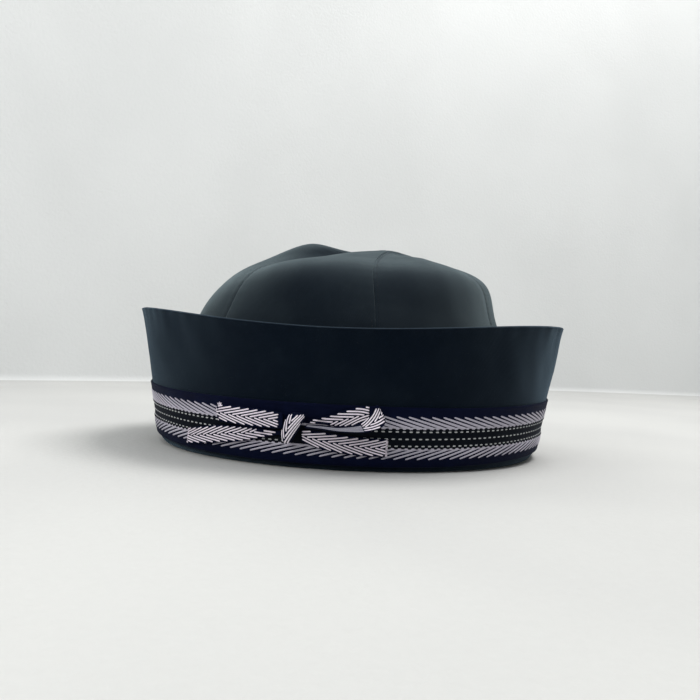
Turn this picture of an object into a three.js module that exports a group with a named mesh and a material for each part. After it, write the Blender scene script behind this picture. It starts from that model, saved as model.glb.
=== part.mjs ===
import * as THREE from "three";

// Sailor cap: a soft crown of six gores inside a tall turned-up brim, with a woven
// ribbon round the foot of the brim and a small bow of narrow ribbon tied on it.
// Millimetres, +Z up. The cap stands on its brim, the bow is on the -Y side and the
// long way of the head opening runs along X.

// ---- driving dimensions: brim ---------------------------------------------------
const FOOT_HALF_LENGTH = 99.4; // outside of the brim just above its rounded foot, along X
const FOOT_HALF_WIDTH = 89.9; // the same along Y
const PLAN_EXPONENT = 1.94; // 2 is an ellipse, less is a little more pointed at the ends
const BRIM_THICKNESS = 2.4; // two layers of twill and the interlining between them
const RIM_HEIGHT = 63.0; // middle height of the rim above the foot
const RIM_WAVES = [
  { turns: 1, cosine: 0.8, sine: 0 },
  { turns: 2, cosine: 3.9, sine: 0.9 },
  { turns: 3, cosine: -0.6, sine: 0 },
  { turns: 4, cosine: -0.6, sine: 0 },
];
const LEAN_FOOT = 2.5; // how far the wall leans out between its foot and the ribbon's top
const FLARE_END = 0.158; // outward slope of the wall above the ribbon, at the two ends
const FLARE_SIDE = 0.29; // the same at the front and the back
const FOOT_ROUND_END = { across: 6.4, up: 16 }; // rounding of the foot at the two ends
const FOOT_ROUND_SIDE = { across: 4.2, up: 7.5 }; // rounding at the front and the back
const FOOT_INSET = 8.8; // how far the flat foot reaches in under the crown
const FOOT_THICKNESS = 1.5;
const RIM_FOLD = 1.1; // height of the rounded fold along the rim

// ---- driving dimensions: ribbons ------------------------------------------------
const RIBBON_FOOT = 3.3; // height of the broad ribbon's lower edge
const RIBBON_TOP = 28.2; // height of its upper edge
const RIBBON_LIFT_SIDE = -0.65; // how far the ribbon is lifted at the front and the back
const RIBBON_LIFT_END = 2.0; // the same at the two ends
const RIBBON_THICKNESS = 0.7;
const NARROW_THICKNESS = 0.8; // the bow's narrow ribbon
const GAP = 0.3; // air left between pieces that lie on each other
const KNOT_AZIMUTH = -99.9; // where the knot sits round the plan, in degrees
const RIBBON_RADIUS = 100; // millimetres of ribbon for each radian of the plan near the bow

// ---- driving dimensions: crown --------------------------------------------------
const CROWN_THICKNESS = 1.6;
const CROWN_INSET = 5.0; // from the outside of the brim's foot in to the outside of the crown
const CROWN_FOOT = 3.6; // the gores stand on the brim's turned-in foot
const WAIST_HEIGHT = 36;
const EAVE_HEIGHT = 66;
const WAIST_SHARE = 0.42; // share of the wall's lean that is reached at the waist
const APEX = { x: 17, y: -3, z: 103.2 };
const AXIS_SHIFTS = [0, 0, 0, 0, 0.35, 0.8, 0.95, 1]; // share of the apex's shift at each ring
const RINGS = AXIS_SHIFTS.length - 1; // foot, waist, eave, brow, top, crest, dip and apex
const TIP_RADIUS = 1.3; // the six points end this far from the apex
const SEAM_MARGIN = 0.23; // how far each gore's edge stays from its seam
const WIDEST_MARGIN = 0.5; // the same near the apex, at most, as a share of the radius
const FIRST_SEAM = -79; // azimuth of the seam at the front, in degrees
const SEAM_SWELL = 0.45; // 1 makes each seam a rounded valley, 0 a plain edge
const SEAM_EASE = 1.25; // 1 runs straight from a plain edge to the gore's middle
const GORE_COUNT = 6;
const GORE_ANGLE = 360 / GORE_COUNT;

// One row for each seam and each gore's middle, in turn. Radii are shares of the
// crown's foot radius in that direction, heights are in millimetres. The dip is half
// way in from the crest to the apex.
const CROWN_COLUMNS = ["eave", "brow", "browZ", "top", "topZ", "crest", "crestZ", "dipZ"];
const CROWN_ROWS = [
  [0.83, 0.7, 86, 0.42, 95, 0.17, 100.5, 102.2], // front seam
  [0.845, 0.75, 87, 0.45, 95.9, 0.19, 99.4, 101.8], // right front gore
  [0.795, 0.715, 86.2, 0.41, 95.5, 0.19, 98.6, 101.2], // right seam
  [0.81, 0.73, 88.6, 0.43, 98, 0.19, 100.5, 102], // right gore
  [0.81, 0.7, 86, 0.4, 96, 0.18, 100, 101.8], // right back seam
  [0.84, 0.74, 87.5, 0.43, 99, 0.19, 102, 102.6], // back right gore
  [0.82, 0.69, 86.5, 0.41, 97.5, 0.18, 101.5, 102.3], // back seam
  [0.85, 0.74, 88, 0.48, 99.5, 0.28, 101.8, 101.6], // back left gore
  [0.83, 0.68, 85.5, 0.5, 96, 0.28, 101, 101], // left seam
  [0.84, 0.69, 84.7, 0.53, 96.4, 0.4, 104.1, 100.4], // left gore
  [0.825, 0.67, 86.5, 0.43, 93, 0.25, 96.8, 100.8], // left front seam
  [0.85, 0.735, 86.5, 0.46, 94.8, 0.2, 100, 101.8], // front left gore
];

// ---- the bow: one row for each section of narrow ribbon ---------------------------
// along: millimetres along the broad ribbon from the knot, to the right
// height: above the ground; off: out from the broad ribbon's face
// rise, reach, shift: from the ribbon's lower edge to its upper edge, up, out and along
const LEFT_LOOP_ROWS = [
  { along: -4.2, height: 20.4, off: 2.0, rise: 6.0, reach: 0, shift: 0 },
  { along: -9, height: 20.5, off: 2.1, rise: 7.0, reach: 0, shift: 0 },
  { along: -15, height: 20.6, off: 1.9, rise: 7.5, reach: 0, shift: 0 },
  { along: -24, height: 20.8, off: 1.6, rise: 7.6, reach: 0, shift: 0 },
  { along: -34.3, height: 21.3, off: 1.4, rise: 7.3, reach: 0, shift: 0 },
];
const LEFT_TAIL_ROWS = [
  { along: -4.9, height: 15.0, off: 1.2, rise: 1.4, reach: 0, shift: 0 },
  { along: -9, height: 14.6, off: 1.0, rise: 2.2, reach: 0, shift: 0 },
  { along: -15, height: 13.9, off: 0.9, rise: 4.2, reach: 0, shift: 0 },
  { along: -23, height: 13.0, off: 0.8, rise: 6.3, reach: 0, shift: 0 },
  { along: -34, height: 11.9, off: 0.8, rise: 7.5, reach: 0, shift: 0 },
  { along: -45, height: 10.4, off: 0.8, rise: 7.4, reach: 0, shift: 0 },
  { along: -56, height: 9.0, off: 0.8, rise: 7.2, reach: 0, shift: 2.0 },
];
const RIGHT_TAIL_ROWS = [
  { along: 3.2, height: 14.4, off: 1.3, rise: 4.8, reach: 0, shift: 0 },
  { along: 10, height: 13.2, off: 1.0, rise: 7.0, reach: 0, shift: 0 },
  { along: 20, height: 11.8, off: 0.8, rise: 7.5, reach: 0, shift: 0 },
  { along: 30, height: 11.0, off: 0.8, rise: 7.6, reach: 0, shift: 0 },
  { along: 39.2, height: 10.9, off: 0.8, rise: 7.4, reach: 0, shift: 0 },
];
const RIGHT_LOOP_ROWS = [
  { along: 5.2, height: 20.3, off: 1.0, rise: 1.6, reach: 0, shift: 0 },
  { along: 12, height: 21.0, off: 0.9, rise: 3.2, reach: 0, shift: 0 },
  { along: 20, height: 22.0, off: 0.9, rise: 6.4, reach: 0, shift: 0 },
  { along: 28, height: 24.0, off: 1.1, rise: 7.6, reach: 0.2, shift: 0 },
  { along: 33.6, height: 25.3, off: 2.3, rise: 6.8, reach: -0.6, shift: -1.2 },
  { along: 35.4, height: 26.3, off: 4.4, rise: 6.2, reach: -2.4, shift: -3.0 },
  { along: 33.6, height: 23.3, off: 5.9, rise: 4.6, reach: -4.4, shift: -3.4 },
  { along: 28.4, height: 20.0, off: 5.4, rise: 2.6, reach: -5.2, shift: -1.6 },
  { along: 20, height: 18.7, off: 4.8, rise: 1.0, reach: -5.0, shift: 0 },
  { along: 12, height: 18.9, off: 4.2, rise: 0.7, reach: -3.6, shift: 0 },
  { along: 5.6, height: 19.0, off: 3.8, rise: 0.4, reach: -2.6, shift: 0 },
];
// half: half of the section's width; depth: half of its depth; lean: its shift along
const KNOT_ROWS = [
  { height: 11.2, half: 0.8, depth: 1.2, lean: -2.3 },
  { height: 12.4, half: 1.7, depth: 2.1, lean: -2.1 },
  { height: 13.8, half: 2.4, depth: 2.6, lean: -1.8 },
  { height: 16.6, half: 3.2, depth: 3.0, lean: -1.0 },
  { height: 20.6, half: 3.6, depth: 3.0, lean: 0.6 },
  { height: 22.9, half: 3.6, depth: 2.5, lean: 1.8 },
  { height: 24.1, half: 3.1, depth: 1.6, lean: 2.4 },
];
const KNOT_OFF = 3.4; // the middle of the knot, out from the broad ribbon's face
const LOOP_LAYERS = 1.9; // the left loop is pressed flat, so its two layers are one solid

// ---- how finely each piece is stepped --------------------------------------------
const BRIM_STEPS = 80;
const RIBBON_STEPS = 80;
const GORE_STEPS_ROUND = 8;
const GORE_STEPS_UP = 15;
const STRIP_STEPS = 16;
const LOOP_STEPS = 30;
const KNOT_STEPS = 12;

const mix = (from, to, share) => from + (to - from) * share;
const clamp = (value) => Math.min(1, Math.max(0, value));
const degrees = (angle) => THREE.MathUtils.degToRad(angle);

// A smooth curve through a list of numbers, at a place counted in rows.
function smoothThrough(values, place) {
  const last = values.length - 1;
  const row = Math.min(Math.floor(place), last - 1);
  const share = place - row;
  const before = values[Math.max(row - 1, 0)];
  const after = values[Math.min(row + 2, last)];
  const [start, end] = [values[row], values[row + 1]];
  const slopeStart = (end - before) / 2;
  const slopeEnd = (after - start) / 2;
  const square = share * share;
  const cube = square * share;
  return (
    start * (2 * cube - 3 * square + 1) +
    slopeStart * (cube - 2 * square + share) +
    end * (3 * square - 2 * cube) +
    slopeEnd * (cube - square)
  );
}

// ---- plan and section of the brim --------------------------------------------------

// A point of the plan outline, grown outward, at a height.
function planPoint(angle, grow, height) {
  const cosine = Math.cos(angle);
  const sine = Math.sin(angle);
  const power = 2 / PLAN_EXPONENT;
  return new THREE.Vector3(
    Math.sign(cosine) * Math.abs(cosine) ** power * (FOOT_HALF_LENGTH + grow),
    Math.sign(sine) * Math.abs(sine) ** power * (FOOT_HALF_WIDTH + grow),
    height,
  );
}

function endShare(angle) {
  return Math.cos(angle) ** 2;
}

function footRound(angle) {
  const share = endShare(angle);
  return {
    across: mix(FOOT_ROUND_SIDE.across, FOOT_ROUND_END.across, share),
    up: mix(FOOT_ROUND_SIDE.up, FOOT_ROUND_END.up, share),
  };
}

function rimHeight(angle) {
  return RIM_WAVES.reduce((sum, wave) => {
    const turned = wave.turns * angle;
    return sum + wave.cosine * Math.cos(turned) + wave.sine * Math.sin(turned);
  }, RIM_HEIGHT);
}

// How far the outside of the brim stands out from the foot outline at a height.
function brimGrow(angle, height) {
  const round = footRound(angle);
  if (height < round.up) {
    const drop = 1 - Math.max(height, 0) / round.up;
    return -round.across * (1 - Math.sqrt(1 - drop * drop));
  }
  const lean = LEAN_FOOT * clamp((height - round.up) / (RIBBON_TOP - round.up));
  const flare = mix(FLARE_SIDE, FLARE_END, endShare(angle));
  return lean + flare * Math.max(height - RIBBON_TOP, 0);
}

// A point at a distance off the outside of the brim, square to its face.
function brimFace(angle, height, off) {
  const step = 0.4;
  const slope = (brimGrow(angle, height + step) - brimGrow(angle, height - step)) / (2 * step);
  const length = Math.hypot(1, slope);
  return planPoint(angle, brimGrow(angle, height) + off / length, height - (off * slope) / length);
}

// The brim's section as a closed loop: out along the foot, up the outside, over the
// rim and down the inside.
function brimSection(angle) {
  const round = footRound(angle);
  const rim = rimHeight(angle);
  const outside = [21, RIBBON_TOP, 45, rim - RIM_FOLD];
  const arcTurns = [0.3, 0.6, 0.85, 1];
  const innerAcross = round.across - BRIM_THICKNESS;
  const innerUp = round.up - FOOT_THICKNESS;
  const at = (grow, height) => planPoint(angle, grow, height);
  const arc = (turn, start, across, floor, up) => {
    const swing = (turn * Math.PI) / 2;
    return at(start - across * (1 - Math.sin(swing)), floor + up * (1 - Math.cos(swing)));
  };
  const points = [at(-FOOT_INSET, 0), at(-round.across, 0)];
  arcTurns.forEach((turn) => points.push(arc(turn, 0, round.across, 0, round.up)));
  outside.forEach((height) => points.push(at(brimGrow(angle, height), height)));
  points.push(at(brimGrow(angle, rim) - BRIM_THICKNESS / 2, rim));
  [...outside].reverse().forEach((height) => {
    points.push(at(brimGrow(angle, height) - BRIM_THICKNESS, height));
  });
  [1, 0.6, 0.3].forEach((turn) => {
    points.push(arc(turn, -BRIM_THICKNESS, innerAcross, FOOT_THICKNESS, innerUp));
  });
  points.push(at(-round.across, FOOT_THICKNESS), at(-FOOT_INSET, FOOT_THICKNESS));
  return points;
}

// The broad ribbon's section: up its outside and down its inside.
function ribbonSection(angle) {
  const lift = mix(RIBBON_LIFT_SIDE, RIBBON_LIFT_END, endShare(angle) ** 2);
  const heights = [RIBBON_FOOT, 5, 8, 12.5, 19, RIBBON_TOP - 0.4].map((height) => height + lift);
  const outer = heights.map((height) => brimFace(angle, height, GAP + RIBBON_THICKNESS));
  const inner = heights.map((height) => brimFace(angle, height, GAP));
  return [...outer, ...inner.reverse()];
}

// ---- the crown ----------------------------------------------------------------------

function crownFootRadius(angle) {
  const alongX = Math.abs(Math.cos(angle)) / (FOOT_HALF_LENGTH - CROWN_INSET);
  const alongY = Math.abs(Math.sin(angle)) / (FOOT_HALF_WIDTH - CROWN_INSET);
  return (alongX ** PLAN_EXPONENT + alongY ** PLAN_EXPONENT) ** (-1 / PLAN_EXPONENT);
}

// A column of the crown table at any angle. The cloth swells between the seams, so it
// meets each seam in a shallow valley.
function crownColumn(name, angle) {
  const column = CROWN_COLUMNS.indexOf(name);
  const halfGore = degrees(GORE_ANGLE / 2);
  const rows = CROWN_ROWS.length;
  const place = (((angle - degrees(FIRST_SEAM)) / halfGore) % rows + rows) % rows;
  const row = Math.floor(place);
  const share = place - row;
  const seamFirst = row % 2 === 0;
  const round = seamFirst ? Math.sin((share * Math.PI) / 2) : 1 - Math.cos((share * Math.PI) / 2);
  const gentle = seamFirst ? 1 - (1 - share) ** SEAM_EASE : share ** SEAM_EASE;
  const eased = mix(gentle, round, SEAM_SWELL);
  return mix(CROWN_ROWS[row % rows][column], CROWN_ROWS[(row + 1) % rows][column], eased);
}

// The middle of the crown's rings, which wanders over to the apex.
function crownAxis(share) {
  const shift = smoothThrough(AXIS_SHIFTS, share * RINGS);
  return new THREE.Vector3(APEX.x * shift, APEX.y * shift, 0);
}

// A point of the crown's outside: share 0 is the foot and 1 the apex.
function crownPoint(angle, share) {
  const column = (name) => crownColumn(name, angle);
  const eave = column("eave");
  const waist = 1 - WAIST_SHARE * (1 - eave);
  const crest = column("crest");
  const radii = [1, waist, eave, column("brow"), column("top"), crest, crest / 2, 0];
  const upper = ["browZ", "topZ", "crestZ", "dipZ"].map(column);
  const heights = [CROWN_FOOT, WAIST_HEIGHT, EAVE_HEIGHT, ...upper, APEX.z];
  const radius = crownFootRadius(angle) * smoothThrough(radii, share * RINGS);
  const out = new THREE.Vector3(radius * Math.cos(angle), radius * Math.sin(angle), 0);
  return out.add(crownAxis(share)).setZ(smoothThrough(heights, share * RINGS));
}

// The way out of the cloth at a point of the crown.
function crownNormal(angle, share) {
  const turn = degrees(2.5);
  const step = 0.012;
  const around = crownPoint(angle + turn, share).sub(crownPoint(angle - turn, share));
  const up = crownPoint(angle, Math.min(share + step, 1)).sub(crownPoint(angle, share - step));
  return around.cross(up).normalize();
}

// ---- solids -------------------------------------------------------------------------

// A closed body from points and triangles, turned so that its faces look out.
function bodyGeometry(points, triangles) {
  const volume = triangles.reduce((sum, [a, b, c]) => {
    return sum + points[a].dot(new THREE.Vector3().crossVectors(points[b], points[c]));
  }, 0);
  const facing = volume < 0 ? triangles.map(([a, b, c]) => [a, c, b]) : triangles;
  const geometry = new THREE.BufferGeometry().setFromPoints(points);
  geometry.setIndex(facing.flat());
  geometry.computeVertexNormals();
  return geometry;
}

// A ring swept from closed sections that all have the same number of points.
function ringGeometry(sectionAt, steps) {
  const sections = Array.from({ length: steps }, (_, step) => sectionAt((step * 2 * Math.PI) / steps));
  const size = sections[0].length;
  const triangles = [];
  for (let step = 0; step < steps; step += 1) {
    const next = (step + 1) % steps;
    for (let side = 0; side < size; side += 1) {
      const far = (side + 1) % size;
      const [a, b] = [step * size + side, step * size + far];
      const [c, d] = [next * size + side, next * size + far];
      triangles.push([a, c, b], [b, c, d]);
    }
  }
  return bodyGeometry(sections.flat(), triangles);
}

// A slab between an outer and an inner grid of points, closed along its four edges.
function slabGeometry(outer, inner) {
  const rows = outer.length;
  const columns = outer[0].length;
  const offset = rows * columns;
  const at = (row, column, layer) => layer * offset + row * columns + column;
  const triangles = [];
  const quad = (a, b, c, d) => triangles.push([a, b, c], [a, c, d]);
  for (let row = 0; row < rows - 1; row += 1) {
    for (let column = 0; column < columns - 1; column += 1) {
      quad(at(row, column, 0), at(row, column + 1, 0), at(row + 1, column + 1, 0), at(row + 1, column, 0));
      quad(at(row, column, 1), at(row + 1, column, 1), at(row + 1, column + 1, 1), at(row, column + 1, 1));
    }
  }
  const border = [];
  for (let column = 0; column < columns; column += 1) border.push([0, column]);
  for (let row = 1; row < rows; row += 1) border.push([row, columns - 1]);
  for (let column = columns - 2; column >= 0; column -= 1) border.push([rows - 1, column]);
  for (let row = rows - 2; row >= 1; row -= 1) border.push([row, 0]);
  border.forEach(([row, column], index) => {
    const [nextRow, nextColumn] = border[(index + 1) % border.length];
    quad(at(row, column, 0), at(row, column, 1), at(nextRow, nextColumn, 1), at(nextRow, nextColumn, 0));
  });
  return bodyGeometry([...outer.flat(), ...inner.flat()], triangles);
}

// One gore of the crown, from one seam to the next. Its two edges keep half the gap
// from the seam all the way up.
function goreGeometry(index) {
  const firstSeam = degrees(FIRST_SEAM + index * GORE_ANGLE);
  const lastSeam = firstSeam + degrees(GORE_ANGLE);
  const dipRadius = (crownColumn("crest", firstSeam) / 2) * crownFootRadius(firstSeam);
  const tipShare = 1 - TIP_RADIUS / dipRadius / RINGS;
  const outer = [];
  const inner = [];
  for (let up = 0; up <= GORE_STEPS_UP; up += 1) {
    const share = (tipShare * up) / GORE_STEPS_UP;
    const middle = crownPoint((firstSeam + lastSeam) / 2, share).sub(crownAxis(share));
    const margin = Math.asin(Math.min(WIDEST_MARGIN, SEAM_MARGIN / Math.hypot(middle.x, middle.y)));
    const outerRow = [];
    const innerRow = [];
    for (let round = 0; round <= GORE_STEPS_ROUND; round += 1) {
      const angle = mix(firstSeam + margin, lastSeam - margin, round / GORE_STEPS_ROUND);
      const point = crownPoint(angle, share);
      const level = new THREE.Vector3(Math.cos(angle), Math.sin(angle), 0);
      const depth = up === 0 ? level : crownNormal(angle, share);
      outerRow.push(point);
      innerRow.push(point.clone().addScaledVector(depth, -CROWN_THICKNESS));
    }
    outer.push(outerRow);
    inner.push(innerRow);
  }
  return slabGeometry(outer, inner);
}

// A place on or off the broad ribbon's face, in the bow's own measures.
function bowPoint(along, height, off) {
  const angle = degrees(KNOT_AZIMUTH) + along / RIBBON_RADIUS;
  return brimFace(angle, height, GAP + RIBBON_THICKNESS + off);
}

// A length of narrow ribbon through the rows of a table.
function stripGeometry(rows, steps, thickness) {
  const column = (name, place) => smoothThrough(rows.map((row) => row[name]), place);
  const edge = (place, side) =>
    bowPoint(
      column("along", place) + (side * column("shift", place)) / 2,
      column("height", place) + (side * column("rise", place)) / 2,
      column("off", place) + (side * column("reach", place)) / 2,
    );
  const faces = [[], []];
  const last = rows.length - 1;
  const nudge = 0.05;
  for (let step = 0; step <= steps; step += 1) {
    const place = (last * step) / steps;
    const low = edge(place, -1);
    const high = edge(place, 1);
    const ahead = edge(Math.min(place + nudge, last), 0);
    const run = ahead.sub(edge(Math.max(place - nudge, 0), 0));
    const half = run.cross(high.clone().sub(low)).setLength(thickness / 2);
    faces[0].push([low.clone().add(half), high.clone().add(half)]);
    faces[1].push([low.clone().sub(half), high.clone().sub(half)]);
  }
  return slabGeometry(faces[0], faces[1]);
}

// The knot: rounded sections stacked up the face of the ribbon, capped top and bottom.
function knotGeometry() {
  const points = [];
  const triangles = [];
  KNOT_ROWS.forEach((row) => {
    for (let step = 0; step < KNOT_STEPS; step += 1) {
      const turn = (step * 2 * Math.PI) / KNOT_STEPS;
      const along = row.lean + row.half * Math.cos(turn);
      points.push(bowPoint(along, row.height, KNOT_OFF + row.depth * Math.sin(turn)));
    }
  });
  const lastRow = KNOT_ROWS.length - 1;
  for (let row = 0; row < lastRow; row += 1) {
    for (let step = 0; step < KNOT_STEPS; step += 1) {
      const next = (step + 1) % KNOT_STEPS;
      const [a, b] = [row * KNOT_STEPS + step, row * KNOT_STEPS + next];
      const [c, d] = [a + KNOT_STEPS, b + KNOT_STEPS];
      triangles.push([a, b, c], [b, d, c]);
    }
  }
  for (let step = 1; step < KNOT_STEPS - 1; step += 1) {
    triangles.push([0, step + 1, step]);
    triangles.push([lastRow * KNOT_STEPS, lastRow * KNOT_STEPS + step, lastRow * KNOT_STEPS + step + 1]);
  }
  return bodyGeometry(points, triangles);
}

// ---- materials and the cap ------------------------------------------------------------

const twill = () => new THREE.MeshStandardMaterial({ color: 0x14191e, roughness: 0.85, metalness: 0 });
const jacquard = () => new THREE.MeshStandardMaterial({ color: 0x4a4a5c, roughness: 0.7, metalness: 0 });
const herringbone = () => new THREE.MeshStandardMaterial({ color: 0xb9b0ba, roughness: 0.65, metalness: 0 });

const cap = new THREE.Group();

function addPiece(name, geometry, material) {
  const piece = new THREE.Mesh(geometry, material);
  piece.name = name;
  cap.add(piece);
}

for (let index = 0; index < GORE_COUNT; index += 1) {
  addPiece(`crown_gore_${index + 1}`, goreGeometry(index), twill());
}
addPiece("brim", ringGeometry(brimSection, BRIM_STEPS), twill());
addPiece("ribbon_band", ringGeometry(ribbonSection, RIBBON_STEPS), jacquard());
addPiece("bow_knot", knotGeometry(), herringbone());
addPiece("bow_left_loop", stripGeometry(LEFT_LOOP_ROWS, STRIP_STEPS, LOOP_LAYERS), herringbone());
addPiece("bow_left_tail", stripGeometry(LEFT_TAIL_ROWS, STRIP_STEPS, NARROW_THICKNESS), herringbone());
addPiece("bow_right_tail", stripGeometry(RIGHT_TAIL_ROWS, STRIP_STEPS, NARROW_THICKNESS), herringbone());
addPiece("bow_right_loop", stripGeometry(RIGHT_LOOP_ROWS, LOOP_STEPS, NARROW_THICKNESS), herringbone());

export default cap;
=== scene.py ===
"""Sailor cap: a six-gore crown in a turned-up brim, a woven ribbon and a small bow.

Lengths in the classes are millimetres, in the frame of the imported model: +Z up, the
cap stands on its brim and the bow is on the -Y side. Meshes are written in metres.
"""

import logging
import math
from dataclasses import dataclass
from enum import Enum
from typing import Callable, NamedTuple, Sequence

import bpy
import numpy as np
from mathutils import Matrix, Vector


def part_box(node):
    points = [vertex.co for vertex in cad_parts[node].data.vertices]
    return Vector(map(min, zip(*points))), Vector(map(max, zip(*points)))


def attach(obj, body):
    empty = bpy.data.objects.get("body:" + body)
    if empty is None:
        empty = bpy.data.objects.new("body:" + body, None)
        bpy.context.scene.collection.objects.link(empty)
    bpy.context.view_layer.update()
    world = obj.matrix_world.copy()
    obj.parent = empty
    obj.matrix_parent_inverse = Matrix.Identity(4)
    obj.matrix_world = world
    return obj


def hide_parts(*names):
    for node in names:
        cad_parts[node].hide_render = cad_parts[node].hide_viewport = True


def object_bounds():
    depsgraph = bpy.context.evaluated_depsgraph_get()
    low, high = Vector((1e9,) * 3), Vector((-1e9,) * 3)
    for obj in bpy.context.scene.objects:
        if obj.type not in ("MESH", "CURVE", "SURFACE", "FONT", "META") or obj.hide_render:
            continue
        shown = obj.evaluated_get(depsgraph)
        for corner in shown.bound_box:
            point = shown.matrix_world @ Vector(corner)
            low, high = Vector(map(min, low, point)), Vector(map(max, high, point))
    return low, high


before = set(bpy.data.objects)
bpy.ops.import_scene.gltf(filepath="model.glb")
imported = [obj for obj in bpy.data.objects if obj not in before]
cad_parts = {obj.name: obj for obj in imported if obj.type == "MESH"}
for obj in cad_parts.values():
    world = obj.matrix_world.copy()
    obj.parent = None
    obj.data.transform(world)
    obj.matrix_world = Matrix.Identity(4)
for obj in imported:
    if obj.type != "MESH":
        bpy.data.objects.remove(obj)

CAD_BOUNDS = [list(corner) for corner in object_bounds()]
MM = 0.001
FULL_TURN = 2 * math.pi
BODY = "root"
CLOTH_MAP = "cloth"

Colour = tuple[float, float, float]
Face = Callable[[np.ndarray, np.ndarray, np.ndarray], np.ndarray]
log = logging.getLogger("sailor_cap")


class Slot(Enum):
    """The material slots of the record."""

    CROWN = "crown_twill"
    BRIM = "brim_twill"
    BAND = "broad_ribbon"
    BOW = "narrow_ribbon"


# ---- shader expressions --------------------------------------------------------------


class Signal:
    """A number that varies over a surface, as one output socket with arithmetic."""

    def __init__(self, shader: "Shader", socket: bpy.types.NodeSocket) -> None:
        """Wraps a socket of a shader's tree."""
        self.shader = shader
        self.socket = socket

    def math(self, operation: str, *others: "Signal | float") -> "Signal":
        """A Math node on this number and others."""
        return self.shader.node("ShaderNodeMath", {"operation": operation}, [self, *others])

    def __add__(self, other: "Signal | float") -> "Signal":
        """Sum."""
        return self.math("ADD", other)

    __radd__ = __add__

    def __mul__(self, other: "Signal | float") -> "Signal":
        """Product."""
        return self.math("MULTIPLY", other)

    __rmul__ = __mul__

    def __rsub__(self, other: float) -> "Signal":
        """Difference from a plain number."""
        return self * -1.0 + other

    def humps(self) -> "Signal":
        """Rounded humps of height 1, one for each half turn of an angle in radians."""
        return self.math("SINE").math("ABSOLUTE")

    def ribs(self, pitch: float) -> "Signal":
        """Rounded ribs of height 1, a pitch apart."""
        return (self * (math.pi / pitch)).humps()

    def below(self, limit: "Signal | float") -> "Signal":
        """1 where this number is under the limit and 0 elsewhere."""
        return self.math("LESS_THAN", limit)

    def ramp(self, low: float, high: float) -> "Signal":
        """A smooth rise from 0 at low to 1 at high."""
        settings = {"interpolation_type": "SMOOTHSTEP"}
        return self.shader.node("ShaderNodeMapRange", settings, {0: self, 1: low, 2: high})


class Shader:
    """One material's node tree round its Principled shader."""

    def __init__(self, name: str) -> None:
        """Makes an empty material with a Principled shader.

        Args:
            name: The material's name.
        """
        self.material = bpy.data.materials.new(name)
        self.material.use_nodes = True
        self.tree = self.material.node_tree
        self.surface = self.tree.nodes["Principled BSDF"]

    def feed(self, socket: bpy.types.NodeSocket, value: object) -> None:
        """Links a signal to a socket, or sets the socket's own value.

        Args:
            socket: The input to feed.
            value: A Signal, or a value that the socket accepts.
        """
        if isinstance(value, Signal):
            self.tree.links.new(value.socket, socket)
        else:
            socket.default_value = value

    def node(self, kind: str, settings: dict, inputs: "dict | list", output: "int | str" = 0) -> Signal:
        """Adds any node.

        Args:
            kind: The node's type name.
            settings: Attributes set on the node before its sockets are fed.
            inputs: Values or signals, by socket name or place.
            output: The output that is wanted.

        Returns:
            That output as a signal.
        """
        made = self.tree.nodes.new(kind)
        for name, value in settings.items():
            setattr(made, name, value)
        feeds = inputs.items() if isinstance(inputs, dict) else enumerate(inputs)
        for place, value in feeds:
            self.feed(made.inputs[place], value)
        return Signal(self, made.outputs[output])

    def cloth(self) -> tuple[Signal, Signal]:
        """The place on the cloth in millimetres, along and across the piece.

        Returns:
            The two places as signals.
        """
        spot = self.node("ShaderNodeUVMap", {"uv_map": CLOTH_MAP}, {})
        along = self.node("ShaderNodeSeparateXYZ", {}, [spot], "X")
        across = self.node("ShaderNodeSeparateXYZ", {}, [spot], "Y")
        return along, across

    def noise(self, grain: float, detail: float = 2.0) -> Signal:
        """Soft noise in object space.

        Args:
            grain: Size of the blotches in millimetres.
            detail: Finer octaves added to it.

        Returns:
            A number round 0.5.
        """
        place = self.node("ShaderNodeTexCoord", {}, {}, "Object")
        inputs = {"Vector": place, "Scale": 1 / (grain * MM), "Detail": detail}
        return self.node("ShaderNodeTexNoise", {}, inputs, "Fac")

    def blend(self, share: "Signal | float", first: "Signal | Colour", second: "Signal | Colour") -> Signal:
        """A mix of two colours.

        Args:
            share: How much of the second colour shows.
            first: The colour at 0.
            second: The colour at 1.

        Returns:
            The mixed colour.
        """
        ends = [value if isinstance(value, Signal) else (*value, 1.0) for value in (first, second)]
        settings = {"data_type": "RGBA", "clamp_factor": True}
        return self.node("ShaderNodeMix", settings, {0: share, 6: ends[0], 7: ends[1]}, 2)

    def relief(self, height: Signal, depth: float) -> None:
        """Feeds the shader's normal from a height of 0 to 1 over a depth in millimetres."""
        inputs = {"Strength": 1.0, "Distance": depth * MM, "Height": height}
        self.feed(self.surface.inputs["Normal"], self.node("ShaderNodeBump", {}, inputs))

    def dress(self, **values: object) -> bpy.types.Material:
        """Sets the shader's sockets, with underscores for spaces in their names.

        Args:
            **values: A value or a signal for each socket.

        Returns:
            The finished material.
        """
        for name, value in values.items():
            self.feed(self.surface.inputs[name.replace("_", " ")], value)
        return self.material


# ---- finishes ------------------------------------------------------------------------


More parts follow.
